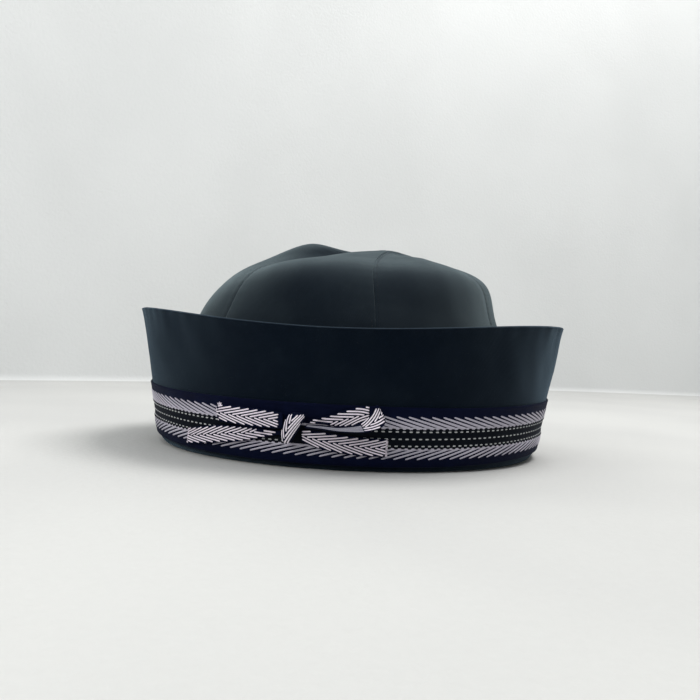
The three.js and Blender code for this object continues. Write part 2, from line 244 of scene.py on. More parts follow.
@dataclass(frozen=True)
class Twill:
    """Dark cotton twill with fine diagonal wales, a little lint and a dusty sheen.

    The three shares of wear are those of slow clouds, of fibres and of rubbed spots.
    """

    name: str
    deep: Colour = (0.0012, 0.0042, 0.0095)
    worn: Colour = (0.0095, 0.0150, 0.0200)
    lint: Colour = (0.30, 0.32, 0.33)
    wale_pitch: float = 0.62
    wale_slope: float = 62.0
    wale_depth: float = 0.07
    wale_relief: float = 0.6
    wale_shade: float = 0.45
    wander_grain: float = 1.4
    wander: float = 1.1
    fibre_grain: float = 0.35
    cloud_grain: float = 26.0
    rub_grain: float = 5.0
    cloud_ramp: tuple[float, float] = (0.35, 0.75)
    wear_ramp: tuple[float, float] = (0.5, 0.8)
    wear: tuple[float, float, float] = (0.45, 0.35, 0.2)
    roughness: float = 0.82
    specular: float = 0.06
    sheen: float = 0.35
    sheen_roughness: float = 0.48
    tint: Colour = (0.66, 0.83, 0.87)
    speck_spacing: float = 9.0
    speck_radius: float = 0.27
    speck_strength: float = 0.55

    def material(self) -> bpy.types.Material:
        """The finish as a material.

        Returns:
            The material.
        """
        shader = Shader(self.name)
        along, across = shader.cloth()
        turn = math.radians(self.wale_slope)
        wale_place = along * math.sin(turn) + across * math.cos(turn)
        wander = shader.noise(self.wander_grain) * self.wander
        wale = (wale_place * (math.pi / self.wale_pitch) + wander).humps()
        fibre = shader.noise(self.fibre_grain, 1.0)
        clouds = shader.noise(self.cloud_grain, 3.0).ramp(*self.cloud_ramp)
        rubs = shader.noise(self.rub_grain, 4.0).ramp(*self.wear_ramp)
        share = clouds * self.wear[0] + fibre.ramp(*self.wear_ramp) * self.wear[1] + rubs * self.wear[2]
        shade = self.wale_shade + (1 - self.wale_shade) * wale
        cloth = shader.blend(share * shade, self.deep, self.worn)
        inputs = {"Scale": 1 / (self.speck_spacing * MM)}
        spot = shader.node("ShaderNodeTexVoronoi", {}, inputs, "Distance")
        speck = spot.below(self.speck_radius / self.speck_spacing)
        shader.relief(wale * self.wale_relief + fibre * (1 - self.wale_relief), self.wale_depth)
        return shader.dress(
            Base_Color=shader.blend(speck * self.speck_strength, cloth, self.lint),
            Roughness=self.roughness + 0.1 * fibre,
            Specular_IOR_Level=self.specular,
            Sheen_Weight=self.sheen,
            Sheen_Roughness=self.sheen_roughness,
            Sheen_Tint=(*self.tint, 1.0),
        )


@dataclass(frozen=True)
class Ground:
    """The woven ground of a ribbon: tight ribs across it in a dark yarn.

    The three shares of light are those of the ribs, of slow clouds and of fibres.
    """

    name: str
    yarn: Colour
    light: Colour
    rib_pitch: float = 0.42
    pick_pitch: float = 0.336
    rib_depth: float = 0.06
    rib_relief: float = 0.6
    cloud_grain: float = 9.0
    cloud_ramp: tuple[float, float] = (0.4, 0.7)
    fibre_grain: float = 0.3
    lightness: tuple[float, float, float] = (0.45, 0.3, 0.25)
    roughness: float = 0.6
    specular: float = 0.04
    sheen: float = 0.03
    sheen_roughness: float = 0.4
    tint: Colour = (0.5, 0.6, 1.0)

    def material(self) -> bpy.types.Material:
        """The finish as a material.

        Returns:
            The material.
        """
        shader = Shader(self.name)
        along, across = shader.cloth()
        rib = along.ribs(self.rib_pitch)
        pick = across.ribs(self.pick_pitch)
        cloud = shader.noise(self.cloud_grain, 3.0).ramp(*self.cloud_ramp)
        fibre = shader.noise(self.fibre_grain, 1.0)
        share = rib * self.lightness[0] + cloud * self.lightness[1] + fibre * self.lightness[2]
        shader.relief(rib * self.rib_relief + pick * (1 - self.rib_relief), self.rib_depth)
        return shader.dress(
            Base_Color=shader.blend(share, self.yarn, self.light),
            Roughness=self.roughness + 0.15 * fibre,
            Specular_IOR_Level=self.specular,
            Sheen_Weight=self.sheen,
            Sheen_Roughness=self.sheen_roughness,
            Sheen_Tint=(*self.tint, 1.0),
        )


@dataclass(frozen=True)
class Floats:
    """Raised threads that lie over a ribbon's ground or a cloth.

    The darker colour holds painted shade in the hollows between threads and in the gaps of
    the twist, and random tone from fibres and slow clouds. The shares of shade are those
    of the hollows between threads, of fibres, of slow clouds and of the twist; those of
    relief are of the threads, the twist and fibres.
    """

    name: str
    yarn: Colour
    shade: Colour
    thread_pitch: float = 0.3
    thread_depth: float = 0.05
    twist_slant: tuple[float, float] = (3.1, 2.2)
    twist_pitch: float = 2.0
    fibre_grain: float = 0.4
    fibre_ramp: tuple[float, float] = (0.45, 0.75)
    cloud_grain: float = 14.0
    cloud_ramp: tuple[float, float] = (0.35, 0.7)
    shading: tuple[float, float, float, float] = (0.35, 0.35, 0.2, 0.2)
    relief: tuple[float, float, float] = (0.6, 0.25, 0.15)
    roughness: float = 0.55
    specular: float = 0.3
    sheen: float = 0.15

    def material(self) -> bpy.types.Material:
        """The finish as a material.

        Returns:
            The material.
        """
        shader = Shader(self.name)
        along, across = shader.cloth()
        strand = across.ribs(self.thread_pitch)
        twist = (along * self.twist_slant[0] + across * self.twist_slant[1]).ribs(self.twist_pitch)
        fibre = shader.noise(self.fibre_grain)
        fibres = fibre.ramp(*self.fibre_ramp)
        clouds = shader.noise(self.cloud_grain).ramp(*self.cloud_ramp)
        # Painted shade: the hollows between threads and the twist's gaps darken the yarn; fibres and clouds
        # add random tone.
        share = (1 - strand) * self.shading[0] + fibres * self.shading[1]
        share = share + clouds * self.shading[2] + (1 - twist) * self.shading[3]
        height = strand * self.relief[0] + twist * self.relief[1] + fibre * self.relief[2]
        shader.relief(height, self.thread_depth)
        return shader.dress(
            Base_Color=shader.blend(share, self.yarn, self.shade),
            Roughness=self.roughness + 0.15 * fibre,
            Specular_IOR_Level=self.specular,
            Sheen_Weight=self.sheen,
        )


@dataclass(frozen=True)
class Plaster:
    """Pale matt surface of the studio."""

    name: str
    tone: Colour
    other: Colour
    cloud_grain: float = 180.0
    cloud_share: float = 0.7
    sand_grain: float = 3.0
    sand_depth: float = 0.25

    def material(self) -> bpy.types.Material:
        """The finish as a material.

        Returns:
            The material.
        """
        shader = Shader(self.name)
        cloud = shader.noise(self.cloud_grain).ramp(0.3, 0.7)
        sand = shader.noise(self.sand_grain, 3.0)
        shader.relief(sand, self.sand_depth)
        share = cloud * self.cloud_share + sand * (1 - self.cloud_share)
        colour = shader.blend(share, self.tone, self.other)
        return shader.dress(Base_Color=colour, Roughness=0.9 + 0.05 * sand, Specular_IOR_Level=0.2)


Finish = Twill | Ground | Floats | Plaster

CROWN_TWILL = Twill("crown_twill")
# A darker copy of the crown's twill: its darker deep and worn colours are painted shade on the brim.
SHADED_BRIM_TWILL = Twill(
    "brim_twill",
    deep=(0.0008, 0.0034, 0.0085),
    worn=(0.007, 0.012, 0.018),
    sheen=0.22,
    sheen_roughness=0.42,
    tint=(0.54, 0.78, 0.98),
)
NAVY_GROUND = Ground("navy_ground", (0.0012, 0.0024, 0.0105), (0.003, 0.0055, 0.024))
BLACK_GROUND = Ground("black_ground", (0.0015, 0.0025, 0.005), (0.005, 0.007, 0.011))
WEFT_FLOATS = Floats("weft_floats", (0.55, 0.52, 0.60), (0.26, 0.24, 0.30))
PALE_FLOATS = Floats("pale_floats", (1.0, 0.92, 0.99), (0.62, 0.53, 0.63))
DIM_FLOATS = Floats("dim_floats", (0.40, 0.39, 0.45), (0.24, 0.23, 0.28), specular=0.1, sheen=0.05)
CREAM_FLOATS = Floats("cream_floats", (0.52, 0.53, 0.53), (0.35, 0.36, 0.37))
TONAL_THREAD = Floats(
    "tonal_thread",
    (0.003, 0.006, 0.011),
    (0.0015, 0.003, 0.006),
    thread_pitch=0.15,
    specular=0.08,
    sheen=0.05,
)
FLOOR_PLASTER = Plaster("floor_plaster", (0.51, 0.51, 0.495), (0.46, 0.46, 0.45))
WALL_PLASTER = Plaster("wall_plaster", (0.66, 0.67, 0.665), (0.61, 0.62, 0.615))


# ---- meshes --------------------------------------------------------------------------


class Patch(NamedTuple):
    """A mesh in the making: points, faces, the cloth map of each corner, face finishes."""

    points: np.ndarray
    faces: list
    corners: np.ndarray
    finishes: np.ndarray


def smooth_through(values: Sequence, place: np.ndarray) -> np.ndarray:
    """A smooth curve through a list of numbers.

    Args:
        values: One entry a row, each a number or an array shaped as place.
        place: Places along the list, counted in rows.

    Returns:
        The curve's value at each place.
    """
    *rows, place = np.broadcast_arrays(*[np.asarray(value, float) for value in values], place)
    table = np.stack(rows)
    last = len(table) - 1
    row = np.clip(np.floor(place).astype(int), 0, last - 1)
    share = place - row

    def pick(index: np.ndarray) -> np.ndarray:
        """The table's entries at an index."""
        return np.take_along_axis(table, np.clip(index, 0, last)[None], axis=0)[0]

    start, end = pick(row), pick(row + 1)
    slope_start = (end - pick(row - 1)) / 2
    slope_end = (pick(row + 2) - start) / 2
    square, cube = share**2, share**3
    held = start * (2 * cube - 3 * square + 1) + end * (3 * square - 2 * cube)
    return held + slope_start * (cube - 2 * square + share) + slope_end * (cube - square)


def mix(start: np.ndarray, end: np.ndarray, share: np.ndarray) -> np.ndarray:
    """A straight blend of two values."""
    return start + (end - start) * share


def bell(distance: np.ndarray, width: float) -> np.ndarray:
    """A rounded bump of height 1 that is gone about two widths away."""
    return np.exp(-((distance / width) ** 2))


def unit(vectors: np.ndarray) -> np.ndarray:
    """Vectors scaled to length 1."""
    return vectors / np.maximum(np.linalg.norm(vectors, axis=-1, keepdims=True), 1e-9)


def run_along(points: np.ndarray) -> np.ndarray:
    """Length along a path at each of its points."""
    return np.concatenate([[0], np.cumsum(np.linalg.norm(np.diff(points, axis=0), axis=1))])


def pairs(first: np.ndarray, second: np.ndarray) -> np.ndarray:
    """Two measures side by side on a last axis of two."""
    return np.stack(np.broadcast_arrays(first, second), axis=-1)


def out_and_back(face: np.ndarray, back: np.ndarray) -> np.ndarray:
    """The columns of one face, then those of the other in turned order."""
    return np.concatenate([face, back[:, ::-1]], axis=1)


def ring_patch(points: np.ndarray, cloth: np.ndarray, finishes: "np.ndarray | None" = None) -> Patch:
    """A body whose grid closes both ways, as a ring does.

    Args:
        points: Rows round the ring by columns round its section.
        cloth: The cloth map with one more row and column than points.
        finishes: A finish for each column, or none.

    Returns:
        The patch.
    """
    rows, columns = points.shape[:2]
    row, column = [grid.ravel() for grid in np.meshgrid(range(rows), range(columns), indexing="ij")]
    after, beside = (row + 1) % rows, (column + 1) % columns
    numbers = [row * columns + column, after * columns + column]
    numbers += [after * columns + beside, row * columns + beside]
    faces = np.stack(numbers, axis=-1)
    places = [(row, column), (row + 1, column), (row + 1, column + 1), (row, column + 1)]
    corners = np.stack([cloth[place] for place in places], axis=1)
    dress = np.zeros(len(faces), int) if finishes is None else np.asarray(finishes)[column]
    return Patch(points.reshape(-1, 3), faces.tolist(), corners.reshape(-1, 2), dress)


def strip_patch(points: np.ndarray, cloth: np.ndarray) -> Patch:
    """Bodies whose sections close on themselves and whose two ends are capped.

    Args:
        points: Bodies by rows by columns; column k faces column -1-k across the section.
        cloth: The cloth map of each point.

    Returns:
        The patch.
    """
    bodies, rows, columns = points.shape[:3]
    start = np.arange(bodies)[:, None, None] * rows * columns
    row, column = np.meshgrid(range(rows - 1), range(columns), indexing="ij")
    beside = (column + 1) % columns
    numbers = [row * columns + column, (row + 1) * columns + column]
    numbers += [(row + 1) * columns + beside, row * columns + beside]
    walls = (start[..., None] + np.stack(numbers, axis=-1)).reshape(-1, 4)
    near = np.arange(columns // 2 - 1)
    cap = np.stack([near, near + 1, columns - 2 - near, columns - 1 - near], axis=-1)
    first = (start + cap[None]).reshape(-1, 4)
    final = (start + (rows - 1) * columns + cap[None, :, ::-1]).reshape(-1, 4)
    faces = np.concatenate([walls, first, final])
    corners = cloth.reshape(-1, 2)[faces.ravel()]
    return Patch(points.reshape(-1, 3), faces.tolist(), corners, np.zeros(len(faces), int))


def join(patches: Sequence[Patch]) -> Patch:
    """Several patches as one.

    Args:
        patches: The patches, in order.

    Returns:
        One patch with all their faces.
    """
    starts = np.cumsum([0] + [len(patch.points) for patch in patches])
    faces = []
    for start, patch in zip(starts, patches):
        faces += [[start + number for number in face] for face in patch.faces]
    points, _, corners, finishes = zip(*patches)
    return Patch(np.concatenate(points), faces, np.concatenate(corners), np.concatenate(finishes))


def clip_lines(
    start: np.ndarray, end: np.ndarray, holds: Callable[[np.ndarray, np.ndarray], np.ndarray]
) -> tuple[np.ndarray, np.ndarray]:
    """Shortens lines to the part that an outline holds.

    Args:
        start: Where each line starts.
        end: Where it ends.
        holds: Tells which places lie inside the outline.

    Returns:
        The new starts and ends of the lines that are left.
    """
    steps, shortest = 61, 0.1
    share = np.linspace(0, 1, steps)
    run = end - start
    spots = start[:, None] + run[:, None] * share[None, :, None]
    held = holds(spots[..., 0], spots[..., 1])
    first = share[held.argmax(axis=1)]
    last = share[::-1][held[:, ::-1].argmax(axis=1)]
    keep = held.any(axis=1) & (last - first > shortest)
    return (start + run * first[:, None])[keep], (start + run * last[:, None])[keep]


class Bars(NamedTuple):
    """Straight raised threads on a face: their ends, a row for each, and their width.

    The width is given at the start and at the end. A tip is the length of the rounding
    at each end, and sink is how far a thread's edges go under the face.
    """

    start: np.ndarray
    end: np.ndarray
    width: tuple[float, float]
    height: float
    sink: float = 0.06
    steps: int = 12
    tip: float = 0.55

    def patch(self, face: Face) -> Patch:
        """The threads as closed rounded bodies on a face.

        Args:
            face: Gives the point at a place along, across and off the face.

        Returns:
            The patch.
        """
        longest_tip, near_end, thinnest, arc_points = 0.45, 0.35, 0.02, 6
        run = self.end - self.start
        length = np.linalg.norm(run, axis=-1)
        side = np.stack([-run[:, 1], run[:, 0]], axis=-1) / length[:, None]
        tip = np.minimum(self.tip / length, longest_tip)
        inner = np.linspace(0, 1, self.steps - 4)
        middle = tip[:, None] + (1 - 2 * tip[:, None]) * inner[None]
        ends = tip[:, None] * np.array([0.0, near_end])[None]
        share = np.concatenate([ends, middle, 1 - ends[:, ::-1]], axis=1)
        reach = np.minimum(np.minimum(share, 1 - share) / tip[:, None], 1)
        round_off = np.sqrt(np.maximum(1 - (1 - reach) ** 2, thinnest))
        half = mix(*self.width, share) / 2 * round_off
        turn = np.linspace(0, math.pi, arc_points)
        spot = self.start[:, None] + run[:, None] * share[..., None]
        flat = spot[:, :, None] + side[:, None, None] * (half[..., None] * np.cos(turn))[..., None]
        lift = self.height * round_off[..., None] * np.sin(turn) - self.sink
        return strip_patch(face(flat[..., 0], flat[..., 1], lift), flat)


def put_in_scene(name: str, data: bpy.types.ID) -> bpy.types.Object:
    """A new object for a mesh, light or camera.

    Args:
        name: The object's name.
        data: What it shows.

    Returns:
        The object.
    """
    made = bpy.data.objects.new(name, data)
    bpy.context.scene.collection.objects.link(made)
    return made


@dataclass
class Workshop:
    """Turns patches into pieces that ride on the frame."""

    materials: dict

    def finish(self, finish: Finish) -> bpy.types.Material:
        """The material of a finish, made once."""
        if finish.name not in self.materials:
            self.materials[finish.name] = finish.material()
        return self.materials[finish.name]

    def mesh(self, name: str, patch: Patch, finishes: Sequence[Finish]) -> bpy.types.Object:
        """A mesh object with its cloth map and finishes.

        Args:
            name: The object's name.
            patch: Its shape in millimetres.
            finishes: The finishes that the patch's faces count through.

        Returns:
            The object.
        """
        data = bpy.data.meshes.new(name)
        data.from_pydata((patch.points * MM).tolist(), [], patch.faces)
        data.polygons.foreach_set("material_index", patch.finishes)
        data.polygons.foreach_set("use_smooth", np.ones(len(patch.faces), bool))
        data.uv_layers.new(name=CLOTH_MAP).data.foreach_set("uv", patch.corners.ravel())
        data.update()
        self.face_out(data)
        for finish in finishes:
            data.materials.append(self.finish(finish))
        return put_in_scene(name, data)

    @staticmethod
    def face_out(data: bpy.types.Mesh) -> None:
        """Turns the faces of a closed mesh outward.

        Args:
            data: A mesh whose faces agree with each other.
        """
        data.calc_loop_triangles()
        corners = np.empty(len(data.loop_triangles) * 3, int)
        data.loop_triangles.foreach_get("vertices", corners)
        points = np.empty(len(data.vertices) * 3)
        data.vertices.foreach_get("co", points)
        first, second, third = points.reshape(-1, 3)[corners].reshape(-1, 3, 3).transpose(1, 0, 2)
        if np.einsum("ij,ij->", first, np.cross(second, third)) < 0:
            data.flip_normals()

    def piece(
        self,
        name: str,
        patch: Patch,
        finishes: Sequence[Finish],
        slot: Slot,
        replaces: Sequence[str] = (),
    ) -> bpy.types.Object:
        """A piece of the cap on its body.

        Args:
            name: The piece's name.
            patch: Its shape in millimetres.
            finishes: Its finishes.
            slot: The record's slot, which is not used.
            replaces: CAD nodes that it stands for.

        Returns:
            The piece.
        """
        made = self.mesh(name, patch, finishes)
        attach(made, BODY)
        if replaces:
            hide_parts(*replaces)
        log.info("%s: %d faces on %s", name, len(patch.faces), BODY)
        return made


# ---- forms ---------------------------------------------------------------------------


@dataclass(frozen=True)
class BrimForm:
    """Plan and wall of the brim, which the ribbon and the bow lie on."""

    half_length: float
    half_width: float
    exponent: float = 1.94
    thickness: float = 2.4
    rim_height: float = 63.0
    rim_waves: tuple = ((1, 0.8, 0.0), (2, 3.9, 0.9), (3, -0.6, 0.0), (4, -0.6, 0.0))
    lean: float = 2.5
    flare_end: float = 0.158
    flare_side: float = 0.29
    round_end: tuple[float, float] = (6.4, 16.0)
    round_side: tuple[float, float] = (4.2, 7.5)
    foot_inset: float = 8.8
    foot_thickness: float = 1.5
    rim_fold: float = 1.1
    ribbon_top: float = 28.2
    ribbon_lift: tuple[float, float] = (-0.65, 2.0)

    @classmethod
    def from_frame(cls) -> "BrimForm":
        """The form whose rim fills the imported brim's box.

        Returns:
            The form.
        """
        low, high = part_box("brim")
        plain = cls(0.0, 0.0)
        out = [float(plain.wall(angle, plain.rim(angle) - plain.rim_fold)) for angle in (0.0, math.pi / 2)]
        half_width = (high[1] - low[1]) / 2 / MM
        return cls(high[0] / MM - out[0], half_width - out[1])

    def plan(self, angle: np.ndarray, grow: np.ndarray, height: np.ndarray) -> np.ndarray:
        """Points of the plan outline.

        Args:
            angle: Direction round the plan.
            grow: Distance out from the foot outline.
            height: Height above the ground.

        Returns:
            The points, on a last axis of three.
        """
        power = 2 / self.exponent
        axes = []
        for turn, half in ((np.cos(angle), self.half_length), (np.sin(angle), self.half_width)):
            axes.append(np.sign(turn) * np.abs(turn) ** power * (half + grow))
        return np.stack(np.broadcast_arrays(*axes, height), axis=-1)

    def foot_round(self, angle: np.ndarray) -> tuple[np.ndarray, np.ndarray]:
        """How far in and how far up the foot's rounding reaches.

        Args:
            angle: Direction round the plan, in radians.

        Returns:
            The reach in and the reach up.
        """
        share = np.cos(angle) ** 2
        across, up = [mix(side, end, share) for side, end in zip(self.round_side, self.round_end)]
        return across, up

    def rim(self, angle: np.ndarray) -> np.ndarray:
        """Height of the rim.

        Args:
            angle: Direction round the plan, in radians.

        Returns:
            The height at each angle.
        """
        height = self.rim_height
        for turns, cosine, sine in self.rim_waves:
            height = height + cosine * np.cos(turns * angle) + sine * np.sin(turns * angle)
        return height

    def wall(self, angle: np.ndarray, height: np.ndarray) -> np.ndarray:
        """How far the outside stands out from the foot outline at a height.

        Args:
            angle: Direction round the plan, in radians.
            height: Height above the ground.

        Returns:
            Distances outward, below 0 inside the foot outline.
        """
        across, up = self.foot_round(angle)
        drop = np.clip(1 - np.maximum(height, 0) / up, 0, 1)
        foot = -across * (1 - np.sqrt(1 - drop**2))
        lean = self.lean * np.clip((height - up) / (self.ribbon_top - up), 0, 1)
        flare = mix(self.flare_side, self.flare_end, np.cos(angle) ** 2)
        return foot + lean + flare * np.maximum(height - self.ribbon_top, 0)

    def lift(self, angle: np.ndarray) -> np.ndarray:
        """How far the broad ribbon is lifted, least at the front and most at the ends."""
        return mix(*self.ribbon_lift, np.cos(angle) ** 4)

    def face(self, angle: np.ndarray, height: np.ndarray, off: np.ndarray) -> np.ndarray:
        """Points at a distance off the outside, square to it.

        Args:
            angle: Direction round the plan, in radians.
            height: Height above the ground.
            off: Distance off the surface.

        Returns:
            The points.
        """
        step = 0.4
        slope = (self.wall(angle, height + step) - self.wall(angle, height - step)) / (2 * step)
        length = np.hypot(1, slope)
        return self.plan(angle, self.wall(angle, height) + off / length, height - off * slope / length)


class CrownRow(NamedTuple):
    """One seam or gore middle: radii as shares of the foot radius, and heights."""

    eave: float
    brow: float
    brow_z: float
    top: float
    top_z: float
    crest: float
    crest_z: float
    dip_z: float


CROWN_ROWS = (
    CrownRow(0.83, 0.7, 86, 0.42, 95, 0.17, 100.5, 102.2),  # front seam
    CrownRow(0.845, 0.75, 87, 0.45, 95.9, 0.19, 99.4, 101.8),  # right front gore
    CrownRow(0.795, 0.715, 86.2, 0.41, 95.5, 0.19, 98.6, 101.2),  # right seam
    CrownRow(0.81, 0.73, 88.6, 0.43, 98, 0.19, 100.5, 102),  # right gore
    CrownRow(0.81, 0.7, 86, 0.4, 96, 0.18, 100, 101.8),  # right back seam
    CrownRow(0.84, 0.74, 87.5, 0.43, 99, 0.19, 102, 102.6),  # back right gore
    CrownRow(0.82, 0.69, 86.5, 0.41, 97.5, 0.18, 101.5, 102.3),  # back seam
    CrownRow(0.85, 0.74, 88, 0.48, 99.5, 0.28, 101.8, 101.6),  # back left gore
    CrownRow(0.83, 0.68, 85.5, 0.5, 96, 0.28, 101, 101),  # left seam
    CrownRow(0.84, 0.69, 84.7, 0.53, 96.4, 0.4, 104.1, 100.4),  # left gore
    CrownRow(0.825, 0.67, 86.5, 0.43, 93, 0.25, 96.8, 100.8),  # left front seam
    CrownRow(0.85, 0.735, 86.5, 0.46, 94.8, 0.2, 100, 101.8),  # front left gore
)


@dataclass(frozen=True)
class CrownForm:
    """The crown's outside, from its foot (share 0) to its apex (share 1)."""

    brim: BrimForm
    inset: float = 5.0
    foot: float = 1.75
    waist_height: float = 36.0
    eave_height: float = 66.0
    waist_share: float = 0.42
    apex: tuple[float, float, float] = (17.0, -3.0, 103.2)
    axis_shifts: tuple = (0, 0, 0, 0, 0.35, 0.8, 0.95, 1)
    seam_swell: float = 0.45
    seam_ease: float = 1.25
    first_seam: float = math.radians(-79)
    gore_angle: float = math.radians(60)

    @property
    def rings(self) -> int:
        """How many stretches there are between the foot and the apex."""
        return len(self.axis_shifts) - 1

    def foot_radius(self, angle: np.ndarray) -> np.ndarray:
        """Radius of the crown's foot in a direction.

        Args:
            angle: Direction round the plan, in radians.

        Returns:
            The radius at each angle.
        """
        power = self.brim.exponent
        along_x = np.abs(np.cos(angle)) / (self.brim.half_length - self.inset)
        along_y = np.abs(np.sin(angle)) / (self.brim.half_width - self.inset)
        return (along_x**power + along_y**power) ** (-1 / power)

    def column(self, name: str, angle: np.ndarray) -> np.ndarray:
        """A column of the crown's table at any angle, with a valley at each seam.

        Args:
            name: The column's name.
            angle: Direction round the plan, in radians.

        Returns:
            Its value at each angle.
        """
        values = np.array([getattr(row, name) for row in CROWN_ROWS], float)
        rows = len(values)
        place = np.mod((angle - self.first_seam) / (self.gore_angle / 2), rows)
        row = np.floor(place).astype(int)
        share = place - row
        quarter = share * math.pi / 2
        round_off = np.where(row % 2 == 0, np.sin(quarter), 1 - np.cos(quarter))
        gentle = np.where(row % 2 == 0, 1 - (1 - share) ** self.seam_ease, share**self.seam_ease)
        eased = mix(gentle, round_off, self.seam_swell)
        return mix(values[row % rows], values[(row + 1) % rows], eased)

    def axis(self, share: np.ndarray) -> np.ndarray:
        """The middle of the rings, which wanders over to the apex."""
        shift = smooth_through(self.axis_shifts, share * self.rings)
        return np.stack([self.apex[0] * shift, self.apex[1] * shift, np.zeros_like(shift)], axis=-1)

    def point(self, angle: np.ndarray, share: np.ndarray) -> np.ndarray:
        """Points of the smooth outside.

        Args:
            angle: Direction round the plan, in radians.
            share: Place from the foot to the apex, 0 to 1.

        Returns:
            The points.
        """
        angle, share = np.broadcast_arrays(np.asarray(angle, float), np.asarray(share, float))
        eave, brow, top, crest = [self.column(name, angle) for name in ("eave", "brow", "top", "crest")]
        waist = 1 - self.waist_share * (1 - eave)
        radii = [1.0, waist, eave, brow, top, crest, crest / 2, 0.0]
        upper = [self.column(name, angle) for name in ("brow_z", "top_z", "crest_z", "dip_z")]
        heights = [self.foot, self.waist_height, self.eave_height, *upper, self.apex[2]]
        radius = self.foot_radius(angle) * smooth_through(radii, share * self.rings)
        height = smooth_through(heights, share * self.rings)
        spot = np.stack([radius * np.cos(angle), radius * np.sin(angle), height], axis=-1)
        return spot + self.axis(share)

    def normal(self, angle: np.ndarray, share: np.ndarray) -> np.ndarray:
        """The way out of the cloth.

        Args:
            angle: Direction round the plan, in radians.
            share: Place from the foot to the apex, 0 to 1.

        Returns:
            Vectors of length 1.
        """
        turn, step = 0.02, 0.004
        around = self.point(angle + turn, share) - self.point(angle - turn, share)
        up = self.point(angle, np.minimum(share + step, 1)) - self.point(angle, share - step)
        return unit(np.cross(around, up))

    def radius(self, angle: np.ndarray, share: np.ndarray) -> np.ndarray:
        """Distance from the rings' middle."""
        spot = self.point(angle, share) - self.axis(share)
        return np.hypot(spot[..., 0], spot[..., 1])


# ---- pieces --------------------------------------------------------------------------


class Crease(NamedTuple):
    """A layer of soft creases: its height, and the lengths of the waves that cross in it.

    A length is in millimetres to each radian, and is math.inf where there is no such wave.
    """

    height: float
    across: float
    slant: float
    up: float
    lean: float
    shift: float = 0.0
    bend: float = 0.0
    bend_across: float = math.inf
    bend_up: float = math.inf


CREASES = (
    Crease(0.45, 21, math.inf, 29, math.inf, 1.1, 0.6, math.inf, 34),  # long soft folds
    Crease(0.22, 9.5, 17, 13, 40, 0.0, 0.8, 31),  # dents
    Crease(0.07, 3.7, -8.3, 5.9, 11),  # small ripples
)


